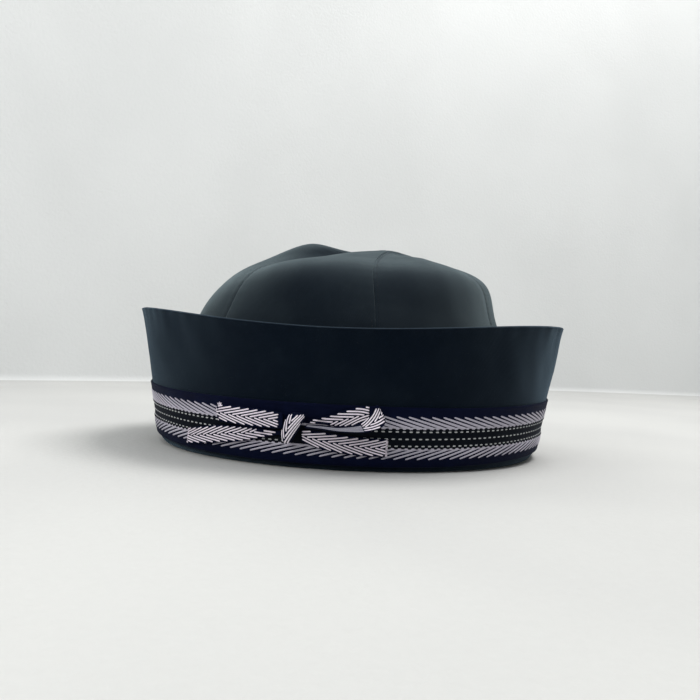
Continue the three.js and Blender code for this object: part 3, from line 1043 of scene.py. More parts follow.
@dataclass
class Crown:
    """Six gores sewn edge to edge, with tonal stitching beside the seams.

    A groove is a depth and a width, a welt a height, its distance from the seam and a
    width, a pucker a height, a pitch and a reach, an allowance a thickness and a width.
    """

    form: CrownForm
    thickness: float = 1.6
    rows: int = 104
    columns: int = 72
    tip_share: float = 0.9985
    cloth_climb: float = 165.0
    cloth_round: float = 80.0
    seam_gap: float = 0.01
    groove: tuple[float, float] = (0.08, 0.3)
    groove_floor: float = 0.25
    welt: tuple[float, float, float] = (0.06, 2.4, 1.8)
    pucker: tuple[float, float, float] = (0.12, 5.2, 6.0)
    pucker_drift: tuple[float, float] = (1.6, 13.0)
    pucker_shift: float = 1.9
    pucker_strength: tuple[float, float] = (0.45, 1.2)
    high_from: float = 0.55
    high_over: float = 0.35
    allowance: tuple[float, float] = (0.55, 6.0)
    calm_radius: float = 14.0
    thin_radius: float = 9.0
    thinnest: float = 0.12
    least_radius: float = 0.3
    most_gap_turn: float = 0.2
    level_share: float = 0.05
    doubled_radius: float = 20.0
    doubled_fade: float = 3.0
    row_power: float = 0.93
    even_columns: float = 0.2
    stitch_pitch: float = 2.5
    stitch_length: float = 1.7
    stitch_offset: float = 1.5
    stitch_width: float = 0.3
    stitch_slant: float = 0.1
    stitch_height: float = 0.1
    stitch_top: float = 0.985
    stitch_ends: tuple[float, float] = (4.0, 6.0)

    def relief(self, angle: np.ndarray, share: np.ndarray) -> np.ndarray:
        """How far the cloth stands off the smooth form: seams, puckers and soft creases.

        Args:
            angle: Direction round the crown.
            share: Place from the foot to the apex.

        Returns:
            Heights in millimetres.
        """
        form = self.form
        radius = form.radius(angle, share)
        from_first = angle - form.first_seam
        half_gore = form.gore_angle / 2
        seam = np.rint(from_first / form.gore_angle)
        away = np.abs(np.mod(from_first + half_gore, form.gore_angle) - half_gore) * radius
        room = np.clip(radius / self.calm_radius, 0, 1)
        run = share * self.cloth_climb
        depth, width = self.groove
        rise, at, spread = self.welt
        swing, pitch, reach = self.pucker
        drift, drift_length = self.pucker_drift
        wander = drift * np.sin(run / drift_length + seam)
        ripple = np.sin(FULL_TURN * run / pitch + seam * self.pucker_shift + wander)
        high = np.clip((share - self.high_from) / self.high_over, 0, 1)
        strength = mix(*self.pucker_strength, high)
        relief = -depth * bell(away, width) * np.clip(room + self.groove_floor, 0, 1)
        relief = relief + rise * bell(away - at, spread) * room
        relief = relief + swing * ripple * np.exp(-away / reach) * room * strength
        return relief + room * self.creases(angle * self.cloth_round, run)

    @staticmethod
    def creases(across: np.ndarray, up: np.ndarray) -> np.ndarray:
        """Long soft creases and dents of handled cloth.

        Args:
            across: Millimetres round the crown.
            up: Millimetres up the cloth.

        Returns:
            Heights in millimetres.
        """
        relief = 0.0
        for row in CREASES:
            bend = row.bend * np.sin(across / row.bend_across + up / row.bend_up)
            wave = np.sin(across / row.across + up / row.slant + bend)
            relief = relief + row.height * wave * np.sin(up / row.up + across / row.lean + row.shift)
        return relief

    def outside(self, angle: np.ndarray, share: np.ndarray, off: np.ndarray = 0.0) -> np.ndarray:
        """Points off the finished outside.

        Args:
            angle: Direction round the plan, in radians.
            share: Place from the foot to the apex, 0 to 1.
            off: Distance off the cloth.

        Returns:
            The points.
        """
        normal = self.form.normal(angle, share)
        lift = self.relief(angle, share) + off
        return self.form.point(angle, share) + normal * lift[..., None]

    def gore(self, number: int) -> Patch:
        """One gore with its own two faces and turned-in edges.

        Args:
            number: Which gore, from the front seam round to the right.

        Returns:
            The patch.
        """
        form = self.form
        first = form.first_seam + number * form.gore_angle
        share = np.linspace(0, 1, self.rows) ** self.row_power * self.tip_share
        edge = np.linspace(-1, 1, self.columns)
        inward = 1 - np.abs(edge)
        spread = np.sign(edge) * (1 - mix(inward**3, inward, self.even_columns))
        middle = first + form.gore_angle / 2
        radius = np.maximum(form.radius(middle, share), self.least_radius)
        half = form.gore_angle / 2 - np.minimum(self.seam_gap / 2 / radius, self.most_gap_turn)
        angle = middle + half[:, None] * spread[None]
        place = np.broadcast_to(share[:, None], angle.shape)
        outer = self.outside(angle, place)
        away = (form.gore_angle / 2 - np.abs(angle - middle)) * radius[:, None]
        thick, width = self.allowance
        room = np.clip(radius / self.doubled_radius, 0, 1)[:, None]
        doubled = thick * room / (1 + np.exp((away - width) * self.doubled_fade))
        level = np.stack([np.cos(angle), np.sin(angle), np.zeros_like(angle)], axis=-1)
        square = form.normal(angle, place)
        settle = np.clip(place / self.level_share, 0, 1)[..., None]
        depth = unit(mix(level, square, settle))
        slim = np.clip(radius / self.thin_radius, self.thinnest, 1)[:, None]
        inner = outer - depth * ((self.thickness * slim + doubled)[..., None])
        flat = pairs((angle - middle) * radius[:, None], (share * self.cloth_climb)[:, None])
        return strip_patch(out_and_back(outer, inner)[None], out_and_back(flat, flat)[None])

    def stitching(self) -> Patch:
        """Short tonal stitches on both sides of every seam.

        Returns:
            The stitches as one patch.
        """
        rows = []
        form = self.form
        for number in range(len(CROWN_ROWS) // 2):
            seam = form.first_seam + number * form.gore_angle
            share = np.linspace(0, self.stitch_top, 400)
            run = run_along(form.point(np.full_like(share, seam), share))

            def face(across: np.ndarray, up: np.ndarray, off: np.ndarray) -> np.ndarray:
                """The cloth beside this seam.

                Args:
                    across: Millimetres out from the seam.
                    up: Millimetres up the cloth.
                    off: Distance off the surface.

                Returns:
                    The points.
                """
                place = np.interp(up, run, share)
                angle = seam + across / np.maximum(form.radius(seam, place), 1)
                return self.outside(angle, place, off)

            begin = np.arange(self.stitch_ends[0], run[-1] - self.stitch_ends[1], self.stitch_pitch)
            width = (self.stitch_width, self.stitch_width)
            for side in (-1, 1):
                start = pairs(side * self.stitch_offset, begin)
                end = start + np.array([self.stitch_slant * side, self.stitch_length])
                stitches = Bars(start, end, width, self.stitch_height, sink=0.04, steps=7, tip=0.3)
                rows.append(stitches.patch(face))
        return join(rows)

    def build(self, shop: Workshop) -> None:
        """Makes the six gores and their stitching."""
        for number in range(len(CROWN_ROWS) // 2):
            name = f"crown_gore_{number + 1}"
            shop.piece(f"{name}_cloth", self.gore(number), [CROWN_TWILL], Slot.CROWN, [name])
        shop.piece("crown_stitching", self.stitching(), [TONAL_THREAD], Slot.CROWN)


@dataclass
class Brim:
    """The turned-up brim: a folded wall with a rounded foot turned in under the crown.

    A slow wave of the wall is its height, its count round the brim, the millimetres of
    height that turn it by a radian, and its shift. The dents and the tugs at the rim
    also start with a height and a count round the brim. A welt is as the crown's.
    """

    form: BrimForm
    steps: int = 640
    slow_waves: tuple = ((0.5, 7, 30, 0.6), (0.35, 13, -19, 0.0))
    dents: tuple = (0.16, 29, 9, 3, 11)
    rim_tugs: tuple = (0.1, 67, 5)
    waves_from: float = 2.0
    waves_over: float = 14.0
    fold_swell: float = 0.3
    fold_reach: float = 3.0
    back_seam: float = math.pi / 2
    groove: tuple[float, float] = (0.5, 0.7)
    welt: tuple[float, float, float] = (0.25, 2.6, 1.6)
    foot_points: int = 5
    round_points: int = 11
    wall_points: int = 27
    fold_points: int = 12
    fold_power: float = 0.8
    cloth_radius: float = 97.0
    stitch_pitch: float = 3.0
    stitch_length: float = 2.0
    stitch_inset: float = 6.9
    stitch_width: float = 0.4
    stitch_height: float = 0.3
    stitch_clearance: float = 0.35

    def waves(self, angle: np.ndarray, height: np.ndarray) -> np.ndarray:
        """Soft waves of the wall above the ribbon.

        Args:
            angle: Direction round the brim.
            height: Height above the ground.

        Returns:
            How far the wall stands out, in millimetres.
        """
        free = np.clip((height - self.form.ribbon_top - self.waves_from) / self.waves_over, 0, 1)
        below = self.form.rim(angle) - height
        slow = 0.0
        for swing, count, length, shift in self.slow_waves:
            slow = slow + swing * np.sin(count * angle + height / length + shift)
        swing, count, length, slant, spacing = self.dents
        mid = swing * np.sin(count * angle + height / length) * np.sin(height / spacing + slant * angle)
        swing, count, reach = self.rim_tugs
        wander = 2 * np.sin(5 * angle)
        tug = swing * np.sin(count * angle + wander) * np.exp(-np.maximum(below, 0) / reach)
        return free * (slow + mid) + tug * free

    def seam(self, angle: np.ndarray) -> np.ndarray:
        """The closing seam down the back of the wall.

        Args:
            angle: Direction round the plan, in radians.

        Returns:
            How far the wall stands out, in millimetres.
        """
        away = (angle - self.back_seam) * self.form.half_width
        depth, width = self.groove
        rise, at, spread = self.welt
        return -depth * bell(away, width) + rise * bell(np.abs(away) - at, spread)

    def section(self, angle: np.ndarray) -> np.ndarray:
        """The wall's closed section at each angle.

        Args:
            angle: Directions, one a row.

        Returns:
            Rows by section points by three.
        """
        form = self.form
        angle = angle[:, None]
        across, up = form.foot_round(angle)
        rim = form.rim(angle)
        turn = np.linspace(0, 1, self.round_points)[1:] * math.pi / 2
        flat = np.linspace(0, 1, self.foot_points)[None]
        flat_grow = flat * (form.foot_inset - across) - form.foot_inset
        climb = np.linspace(0, 1, self.wall_points)[1:]
        top = rim - form.rim_fold
        wall_height = up + (top - up) * climb
        bump = self.waves(angle, wall_height) + self.seam(angle)
        swell = self.fold_swell * bell(rim - wall_height, self.fold_reach)
        outer_grow = form.wall(angle, wall_height) + bump + swell
        inner_grow = form.wall(angle, wall_height) - form.thickness + bump - swell
        end = self.waves(angle, rim) + self.seam(angle)
        middle = form.wall(angle, rim) - form.thickness / 2 + end
        cap_turn = np.linspace(0, math.pi, self.fold_points)[1:-1]
        half = form.thickness / 2 + self.fold_swell
        cap_grow = middle + half * np.cos(cap_turn)
        cap_height = top + form.rim_fold * np.sin(cap_turn) ** self.fold_power
        inner_across = across - form.thickness
        inner_up = up - form.foot_thickness
        back = turn[::-1]
        inner_foot = -form.thickness - inner_across * (1 - np.sin(back))
        parts = [
            pairs(flat_grow, 0.0),
            pairs(-across * (1 - np.sin(turn)), up * (1 - np.cos(turn))),
            pairs(outer_grow, wall_height),
            pairs(cap_grow, cap_height),
            pairs(inner_grow, wall_height)[:, ::-1],
            pairs(inner_foot, form.foot_thickness + inner_up * (1 - np.cos(back))),
            pairs(flat_grow, form.foot_thickness)[:, ::-1],
        ]
        grow, height = np.moveaxis(np.concatenate(parts, axis=1), -1, 0)
        return form.plan(angle, grow, height)

    def wall_patch(self) -> Patch:
        """The whole brim as one closed ring.

        Returns:
            The patch.
        """
        angle = np.linspace(0, FULL_TURN, self.steps, endpoint=False) - math.pi / 2
        points = self.section(angle)
        climb = run_along(np.concatenate([points[0], points[0, :1]]))
        round_way = np.linspace(0, FULL_TURN * self.cloth_radius, self.steps + 1)
        return ring_patch(points, pairs(round_way[:, None], climb))

    def foot_stitching(self) -> Patch:
        """The row of stitches that joins the crown to the foot, seen from below.

        Returns:
            The stitches as one patch.
        """
        form = self.form

        def face(along: np.ndarray, inward: np.ndarray, off: np.ndarray) -> np.ndarray:
            """The underside of the foot, a hair above the ground."""
            return form.plan(along / form.half_length, -inward, self.stitch_clearance - off)

        total = FULL_TURN * form.half_length
        begin = np.linspace(0, total, int(total / self.stitch_pitch), endpoint=False)
        start = pairs(begin, self.stitch_inset)
        end = start + np.array([self.stitch_length, 0.0])
        width = (self.stitch_width, self.stitch_width)
        stitches = Bars(start, end, width, self.stitch_height, sink=-0.02, steps=7, tip=0.3)
        return stitches.patch(face)

    def build(self, shop: Workshop) -> bpy.types.Object:
        """Makes the brim and the stitches of its foot.

        Args:
            shop: Makes the meshes and materials.

        Returns:
            The wall's object.
        """
        cloth = shop.piece("brim_cloth", self.wall_patch(), [SHADED_BRIM_TWILL], Slot.BRIM, ["brim"])
        shop.piece("foot_stitching", self.foot_stitching(), [TONAL_THREAD], Slot.BRIM)
        return cloth


@dataclass
class BroadRibbon:
    """The woven ribbon round the foot: navy edges, two pale herringbones, dotted rows.

    Bands, rows and edges are shares of the width from the top edge, a stripe is its width
    at both ends, and a skip is where threads stop and start again round the knot, so
    that the dark ground shows there.
    """

    form: BrimForm
    foot: float = 3.3
    thickness: float = 0.7
    gap: float = 0.3
    steps: int = 480
    knot_angle: float = math.radians(-99.9)
    bow_radius: float = 100.0
    stripe_count: int = 117
    stripe_slope: float = math.radians(16.5)
    stripe_height: float = 0.26
    upper_stripe: tuple[float, float] = (0.72, 1.28)
    lower_stripe: tuple[float, float] = (0.70, 1.05)
    upper_band: tuple[float, float] = (0.155, 0.358)
    lower_band: tuple[float, float] = (0.865, 0.685)
    pale_edge: float = 0.035
    selvedge_rows: tuple = (0.0, 0.012, 0.03, 0.05)
    selvedge_end: float = 0.08
    dot_rows: tuple = (0.405, 0.526, 0.643)
    dot_count: int = 204
    dot_size: tuple[float, float] = (1.5, 0.6)
    dot_height: float = 0.22
    scallop_rows: tuple = (0.367, 0.678)
    scallop_shift: float = 0.45
    scallop_height: float = 0.33
    # Pale threads are left out over these stretches round the knot, so the dark ground shows there.
    stripe_skip: tuple[float, float] = (-13.0, 19.0)
    dot_skip: tuple[float, float] = (-2.0, 8.0)
    scallop_size: tuple[float, float] = (1.8, 1.05)
    table_steps: int = 1441
    measured_at: float = 15.0
    measured_off: float = 0.5
    ground_sink: float = 0.2
    band_margin: float = 0.008
    edge_roll: tuple[float, float, float] = (0.16, 0.022, 0.016)
    edge_drop: tuple[float, float] = (0.22, 0.008)

    @property
    def width(self) -> float:
        """The ribbon's width."""
        return self.form.ribbon_top - self.foot

    @property
    def ground_off(self) -> float:
        """How far the ground's outside lies off the brim, under the raised threads."""
        return self.gap + self.thickness - self.ground_sink

    def angles(self) -> tuple[np.ndarray, np.ndarray]:
        """A table of directions and the length of ribbon from the knot to each.

        Returns:
            The directions and the lengths.
        """
        angle = np.linspace(0, FULL_TURN, self.table_steps) + self.knot_angle
        spots = self.form.face(angle, np.full_like(angle, self.measured_at), self.measured_off)
        return angle, run_along(spots)

    def near_knot(self, along: np.ndarray, height: np.ndarray, off: np.ndarray) -> np.ndarray:
        """A place on or off the ribbon, in millimetres along from the knot and up."""
        angle = self.knot_angle + along / self.bow_radius
        return self.form.face(angle, height, self.gap + self.thickness + off)

    def face_on(self) -> tuple[Face, float]:
        """The ribbon's outside in its own measures.

        Returns:
            A face in millimetres along the ribbon and down from its top edge, and the
            ribbon's length.
        """
        angle, run = self.angles()
        length = run[-1]

        def face(along: np.ndarray, down: np.ndarray, off: np.ndarray) -> np.ndarray:
            """Points off the ribbon's outside.

            Args:
                along: Millimetres along the ribbon from the knot.
                down: Millimetres down from the top edge.
                off: Distance off the surface.

            Returns:
                The points.
            """
            direction = np.interp(np.mod(along, length), run, angle)
            height = self.form.ribbon_top + self.form.lift(direction) - down
            return self.form.face(direction, height, self.ground_off + off)

        return face, length

    def ground(self) -> Patch:
        """The woven ground as one closed ring.

        Returns:
            The patch, whose finishes are navy, black and pale.
        """
        angle, run = self.angles()
        at_rows = np.linspace(0, run[-1], self.steps + 1)
        direction = np.interp(at_rows[:-1], run, angle)[:, None]
        upper, lower = self.upper_band[1] + self.band_margin, self.lower_band[1] - self.band_margin
        stretches = [
            self.selvedge_rows,
            np.linspace(self.selvedge_end, upper - self.pale_edge, 8),
            np.linspace(upper, lower, 9),
            np.linspace(lower + self.pale_edge, 1 - self.selvedge_end, 8),
            [1 - row for row in reversed(self.selvedge_rows)],
        ]
        share = np.concatenate(stretches)
        down = share * self.width
        from_edge = np.minimum(share, 1 - share)
        roll, at, spread = self.edge_roll
        drop, reach = self.edge_drop
        edge = roll * bell(from_edge - at, spread) - drop * bell(from_edge, reach)
        height = self.form.ribbon_top + self.form.lift(direction) - down[None]
        outer = self.form.face(direction, height, self.ground_off + edge[None])
        inner = self.form.face(direction, height, self.gap)
        climb = np.concatenate([down, down[::-1], down[:1]])
        spot = (share[:-1] + share[1:]) / 2
        middle = (spot > upper) & (spot < lower)
        pale = ((spot > upper - self.pale_edge) & (spot < upper)) | (
            (spot > lower) & (spot < lower + self.pale_edge)
        )
        finishes = np.concatenate([middle + 2 * pale, np.zeros(len(share) + 1, int)])
        return ring_patch(out_and_back(outer, inner), pairs(at_rows[:, None], climb), finishes)

    def herringbone(self) -> Patch:
        """Both rows of slanting pale stripes.

        Returns:
            The stripes as one patch.
        """
        face, length = self.face_on()
        begin = np.arange(self.stripe_count) * length / self.stripe_count
        rows = []
        bands = ((*self.upper_band, self.upper_stripe), (*self.lower_band, self.lower_stripe))
        for outer, inner, stripe in bands:
            top, bottom = outer * self.width, inner * self.width
            reach = abs(bottom - top) / math.tan(self.stripe_slope)
            kept = begin if outer > inner else self.clear_of(begin, self.stripe_skip, reach, length)
            start = pairs(kept, top)
            end = pairs(kept + reach, bottom)
            rows.append(Bars(start, end, stripe, self.stripe_height, steps=14, tip=0.9).patch(face))
        return join(rows)

    @staticmethod
    def clear_of(begin: np.ndarray, gap: tuple[float, float], reach: float, length: float) -> np.ndarray:
        """The starts of threads that stay clear of a stretch round the knot, where the dark ground is left
        bare.

        Args:
            begin: Where each thread starts, in millimetres from the knot.
            gap: The stretch's two ends on either side of the knot.
            reach: How far each thread runs along.
            length: Length of the ribbon.

        Returns:
            The starts that are left.
        """
        signed = np.mod(begin + length / 2, length) - length / 2
        return begin[(signed + reach < gap[0]) | (signed > gap[1])]

    def dots(self, rows: Sequence[float], size: tuple[float, float], shift: float, height: float) -> Patch:
        """Rows of short woven dots, staggered from row to row.

        Args:
            rows: Places of the rows as shares of the width from the top edge.
            size: Length and width of a dot.
            shift: How far the first row is moved along, in dots.
            height: How far a dot stands up.

        Returns:
            The dots as one patch.
        """
        face, length = self.face_on()
        made = []
        for number, row in enumerate(rows):
            begin = (np.arange(self.dot_count) + shift + number * 0.5) * length / self.dot_count
            begin = self.clear_of(begin, self.dot_skip, size[0], length)
            start = pairs(begin, row * self.width)
            end = start + np.array([size[0], 0.0])
            made.append(Bars(start, end, (size[1], size[1]), height, steps=8, tip=size[1] / 2).patch(face))
        return join(made)

    def build(self, shop: Workshop, brim: bpy.types.Object) -> None:
        """Args:
            shop: Makes the meshes and materials.
            brim: The wall that the ribbon lies on; not used.
        """
        grounds = [NAVY_GROUND, BLACK_GROUND, WEFT_FLOATS]
        band = shop.piece("ribbon_ground", self.ground(), grounds, Slot.BAND, ["ribbon_band"])
        stripes = shop.piece("ribbon_herringbone", self.herringbone(), [WEFT_FLOATS], Slot.BAND)
        dots = self.dots(self.dot_rows, self.dot_size, 0.0, self.dot_height)
        cream = shop.piece("ribbon_dots", dots, [CREAM_FLOATS], Slot.BAND)
        scallops = self.dots(self.scallop_rows, self.scallop_size, self.scallop_shift, self.scallop_height)
        dark = shop.piece("ribbon_scallops", scallops, [BLACK_GROUND], Slot.BAND)
        flat = (self.width * MM, self.face_on()[1] * MM)


class BowRow(NamedTuple):
    """A section of narrow ribbon: its middle, and the way from lower to upper edge."""

    along: float
    height: float
    off: float
    rise: float
    reach: float = 0.0
    shift: float = 0.0


LEFT_LOOP = (
    BowRow(-4.2, 20.4, 2.0, 6.0),
    BowRow(-9, 20.5, 2.1, 7.0),
    BowRow(-15, 20.6, 1.9, 7.5),
    BowRow(-24, 20.8, 1.6, 7.6),
    BowRow(-34.3, 21.3, 1.4, 7.3),
)
LEFT_TAIL = (
    BowRow(-4.9, 15.0, 1.2, 1.4),
    BowRow(-9, 14.6, 1.0, 2.2),
    BowRow(-15, 13.9, 0.9, 4.2),
    BowRow(-23, 13.0, 0.8, 6.3),
    BowRow(-34, 11.9, 0.8, 7.5),
    BowRow(-45, 10.4, 0.8, 7.4),
    BowRow(-56, 9.0, 0.8, 7.2, 0.0, 2.0),
)
RIGHT_TAIL = (
    BowRow(3.2, 14.4, 1.3, 4.8),
    BowRow(10, 13.2, 1.0, 7.0),
    BowRow(20, 11.8, 0.8, 7.5),
    BowRow(30, 11.0, 0.8, 7.6),
    BowRow(39.2, 10.9, 0.8, 7.4),
)
RIGHT_LOOP = (
    BowRow(5.2, 20.3, 1.0, 1.6),
    BowRow(12, 21.0, 0.9, 3.2),
    BowRow(20, 22.0, 0.9, 6.4),
    BowRow(28, 24.0, 1.1, 7.6, 0.2),
    BowRow(33.6, 25.3, 2.3, 6.8, -0.6, -1.2),
    BowRow(35.4, 26.3, 4.4, 6.2, -2.4, -3.0),
    BowRow(33.6, 23.3, 5.9, 4.6, -4.4, -3.4),
    BowRow(28.4, 20.0, 5.4, 2.6, -5.2, -1.6),
    BowRow(20, 18.7, 4.8, 1.0, -5.0),
    BowRow(12, 18.9, 4.2, 0.7, -3.6),
    BowRow(5.6, 19.0, 3.8, 0.4, -2.6),
)


class KnotRow(NamedTuple):
    """A level section of the knot: half its width and depth, and its shift along."""

    height: float
    half: float
    depth: float
    lean: float


KNOT = (
    KnotRow(11.2, 0.8, 1.2, -2.3),
    KnotRow(12.4, 1.7, 2.1, -2.1),
    KnotRow(13.8, 2.4, 2.6, -1.8),
    KnotRow(16.6, 3.2, 3.0, -1.0),
    KnotRow(20.6, 3.6, 3.0, 0.6),
    KnotRow(22.9, 3.6, 2.5, 1.8),
    KnotRow(24.1, 3.1, 1.6, 2.4),
)


@dataclass
class Strip:
    """A length of narrow ribbon through the rows of a table, with pale chevrons.

    Margins are the lengths without chevrons at the two ends, turns_over is where the
    strip's front stops showing and its back starts to; the chevrons stop and start there,
    and the bare dark ground between is painted shade inside the loop's turn. strand_row
    is the row from which it is seen edge-on.
    """

    band: BroadRibbon
    rows: Sequence[BowRow]
    thickness: float = 0.5
    pitch: float = 4.3
    slope: float = math.radians(15)
    arm_width: float = 0.64
    arm_height: float = 0.2
    arm_start: float = 0.06
    arm_end: float = 3.4
    full_half: float = 3.8
    selvedge: float = 0.42
    pleat: float = 0.5
    pleat_from: float = 0.6
    pleat_turn: float = 2.5 * math.pi
    thinnest: float = 0.95
    start_margin: float = 0.15
    end_margin: float = 0.15
    spine_drift: float = 0.0
    arms_run_on: bool = True
    front: int = 1
    turns_over: "tuple[float, float] | None" = None
    strand_row: "int | None" = None
    strand_threads: int = 7
    strand_reach: tuple[float, float] = (-0.84, 0.3)
    strand_width: float = 0.6
    strand_height: float = 0.16
    strand_margin: float = 0.3
    cut_end: bool = False
    ground_columns: int = 15
    ground_rows_a_mm: float = 1.6
    edge_share: float = 0.35
    fray_count: int = 22
    fray_reach: tuple[float, float] = (0.75, 1.35)
    fray_spread: float = 0.9
    fray_shift: float = 0.03
    fray_sway: float = 0.25
    tuft_count: int = 9
    tuft_span: tuple[float, float] = (0.1, 1.7)
    tuft_sway: tuple[float, float] = (-0.6, 0.7)
    tuft_rise: tuple[float, float] = (0.7, 1.5)
    loose_width: tuple[float, float] = (0.4, 0.16)
    loose_height: float = 0.24
    loose_sink: float = 0.1
    loose_root: float = 0.5

    def __post_init__(self) -> None:
        """Measures the strip along its middle."""
        self.place = np.linspace(0, len(self.rows) - 1, 400)
        middle = self.edge(self.place, 0.0)
        self.run = run_along(middle)
        self.halves = np.linalg.norm(self.edge(self.place, 1.0) - self.edge(self.place, -1.0), axis=-1) / 2

    @property
    def length(self) -> float:
        """Length along the middle."""
        return float(self.run[-1])

    def half(self, along: np.ndarray) -> np.ndarray:
        """Half of the strip's width as it is gathered, at millimetres along it."""
        return np.interp(along, self.run, self.halves)

    def edge(self, place: np.ndarray, side: np.ndarray) -> np.ndarray:
        """Points across the strip, from side -1 at the lower edge to 1 at the upper.

        Args:
            place: Place along the strip, counted in rows.
            side: Place across it.

        Returns:
            The points.
        """
        along, height, off, rise, reach, shift = [smooth_through(values, place) for values in zip(*self.rows)]
        half = np.asarray(side) / 2
        return self.band.near_knot(along + half * shift, height + half * rise, off + half * reach)

    def face(self, along: np.ndarray, across: np.ndarray, off: np.ndarray) -> np.ndarray:
        """Points off the strip, at millimetres along it and shares across it.

        Args:
            along: Millimetres along the strip.
            across: Share across it, -1 to 1.
            off: Distance off the surface.

        Returns:
            The points.
        """
        slope = (self.place[-1] - self.place[-2]) / (self.run[-1] - self.run[-2])
        past = np.maximum(along - self.length, 0) * slope
        place = np.interp(along, self.run, self.place) + past
        low, high = self.edge(place, -1.0), self.edge(place, 1.0)
        nudge = 0.05
        run = self.edge(place + nudge, 0.0) - self.edge(place - nudge, 0.0)
        out = unit(np.cross(run, high - low)) * self.front
        half = self.half(along)
        gathered = np.clip(1 - half / self.full_half, 0, 1) * np.clip(half - self.pleat_from, 0, 1)
        fold = self.pleat * gathered * np.sin(across * self.pleat_turn)
        return mix(low, high, ((across + 1) / 2)[..., None]) + out * (off + fold)[..., None]

    def ground(self) -> Patch:
        """The dark woven ground with rounded selvedges.

        Returns:
            The patch.
        """
        steps = max(24, int(self.length * self.ground_rows_a_mm))
        along = np.linspace(0, self.length, steps)[:, None]
        side = np.sin(np.linspace(-1, 1, self.ground_columns) * math.pi / 2)[None]
        swell = np.sqrt(np.maximum(1 - side**8, 0))
        bulge = self.thickness / 2 * (self.edge_share + (1 - self.edge_share) * swell)
        front, back = [self.face(*np.broadcast_arrays(along, side, off)) for off in (bulge, -bulge)]
        flat = pairs(along, side * self.full_half)
        return strip_patch(out_and_back(front, back)[None], out_and_back(flat, flat)[None])

    def chevrons(self) -> Patch:
        """Pale stripes that meet on the middle line.

        Returns:
            The stripes of every side that shows, as one patch.
        """
        reach = self.arm_end / math.tan(self.slope)
        spine = np.arange(-reach, self.length + reach, self.pitch)
        stretches = [(1, self.start_margin, self.length - self.end_margin)]
        if self.turns_over:
            over, under = self.turns_over
            stretches = [(1, self.start_margin, over), (-1, under, self.strand_start())]
        patches = []
        for facing, first, last in stretches:
            for side in (-1, 1):
                shift = self.pitch * 0.25 * (side + 1)
                ends = (spine + shift, spine + shift + reach)
                apex, tip = ends if self.arms_run_on else ends[::-1]
                ends = pairs(apex, self.arm_start), pairs(tip, self.arm_end)
                lines = clip_lines(*ends, self.outline(side, first, last))
                patches.append(self.stripe_patch(*lines, side, facing))
        return join(patches)

    def strand_start(self) -> float:
        """Where the chevrons give way to the edge-on strand, in millimetres along."""
        row = self.place[-1] if self.strand_row is None else self.strand_row
        return float(np.interp(row, self.place, self.run))

    def strand(self) -> Patch:
        """Threads that run along the strip where it is seen edge-on.

        Returns:
            The threads as one patch.
        """
        across = np.linspace(*self.strand_reach, self.strand_threads) * self.full_half
        start = pairs(self.strand_start(), across)
        end = pairs(self.length - self.strand_margin, across)
        width = (self.strand_width, self.strand_width)

        def face(along: np.ndarray, across: np.ndarray, off: np.ndarray) -> np.ndarray:
            """The turned-over side, gathered across."""
            return self.face(along, across / self.full_half, -self.thickness / 2 - off)

        return Bars(start, end, width, self.strand_height, sink=0.05, steps=34, tip=0.5).patch(face)

    def climb(self, along: np.ndarray, across: np.ndarray, side: int) -> np.ndarray:
        """Millimetres up from the strip's middle, at millimetres out from its spine."""
        drift = self.spine_drift * np.maximum(self.full_half - self.half(along), 0)
        return side * across + drift

    def outline(self, side: int, first: float, last: float) -> Callable[[np.ndarray, np.ndarray], np.ndarray]:
        """Makes a test of whether places lie on the strip, clear of its selvedges.

        Args:
            side: 1 for the upper half and -1 for the lower.
            first: Where the stretch starts, in millimetres along.
            last: Where it ends.

        Returns:
            The test.
        """

        def holds(along: np.ndarray, across: np.ndarray) -> np.ndarray:
            """Whether places lie on the stretch.

            Args:
                along: Millimetres along the piece.
                across: Millimetres out from the spine.

            Returns:
                True where they do.
            """
            half = self.half(along)
            room = (along > first) & (along < last) & (half > self.thinnest)
            return room & (np.abs(self.climb(along, across, side)) < half - self.selvedge)

        return holds

    def stripe_patch(self, start: np.ndarray, end: np.ndarray, side: int, facing: int) -> Patch:
        """Stripes on one half of one face.

        Args:
            start: Where each stripe starts.
            end: Where it ends.
            side: 1 for the upper half and -1 for the lower.
            facing: 1 for the front and -1 for the back.

        Returns:
            The patch.
        """

        def face(along: np.ndarray, across: np.ndarray, off: np.ndarray) -> np.ndarray:
            """The half's own measures, in millimetres out from the spine."""
            raised = (self.thickness / 2 + off) * facing
            return self.face(along, self.climb(along, across, side) / self.half(along), raised)

        width = (self.arm_width, self.arm_width)
        return Bars(start, end, width, self.arm_height, sink=0.05, steps=11, tip=0.5).patch(face)

    def fray(self, seed: int) -> Patch:
        """Loose pale ends where the ribbon is cut.

        Args:
            seed: Start of the random draws.

        Returns:
            The ends as one patch.
        """
        draw = np.random.default_rng(seed)
        count = self.fray_count
        shift, sway = self.fray_shift, self.fray_sway
        across = np.linspace(-self.fray_spread, self.fray_spread, count) + draw.uniform(-shift, shift, count)
        start = pairs(self.length - self.loose_root, across * self.full_half)
        end = start + pairs(draw.uniform(*self.fray_reach, count), draw.uniform(-sway, sway, count))
        return self.loose_threads(start, end)

    def tuft(self, seed: int, at: float) -> Patch:
        """A few loose pale threads that stand up from the upper edge.

        Args:
            seed: Start of the random draws.
            at: Where they stand, in millimetres along.

        Returns:
            The threads as one patch.
        """
        draw = np.random.default_rng(seed)
        count = self.tuft_count
        start = pairs(at - draw.uniform(*self.tuft_span, count), self.full_half - self.loose_root)
        end = start + pairs(draw.uniform(*self.tuft_sway, count), draw.uniform(*self.tuft_rise, count))
        return self.loose_threads(start, end)

    def loose_threads(self, start: np.ndarray, end: np.ndarray) -> Patch:
        """Thin threads on the strip and a little past its edges."""

        def face(along: np.ndarray, across: np.ndarray, off: np.ndarray) -> np.ndarray:
            """The strip's own measures in millimetres."""
            return self.face(along, across / self.full_half, self.thickness / 2 - self.loose_sink + off)

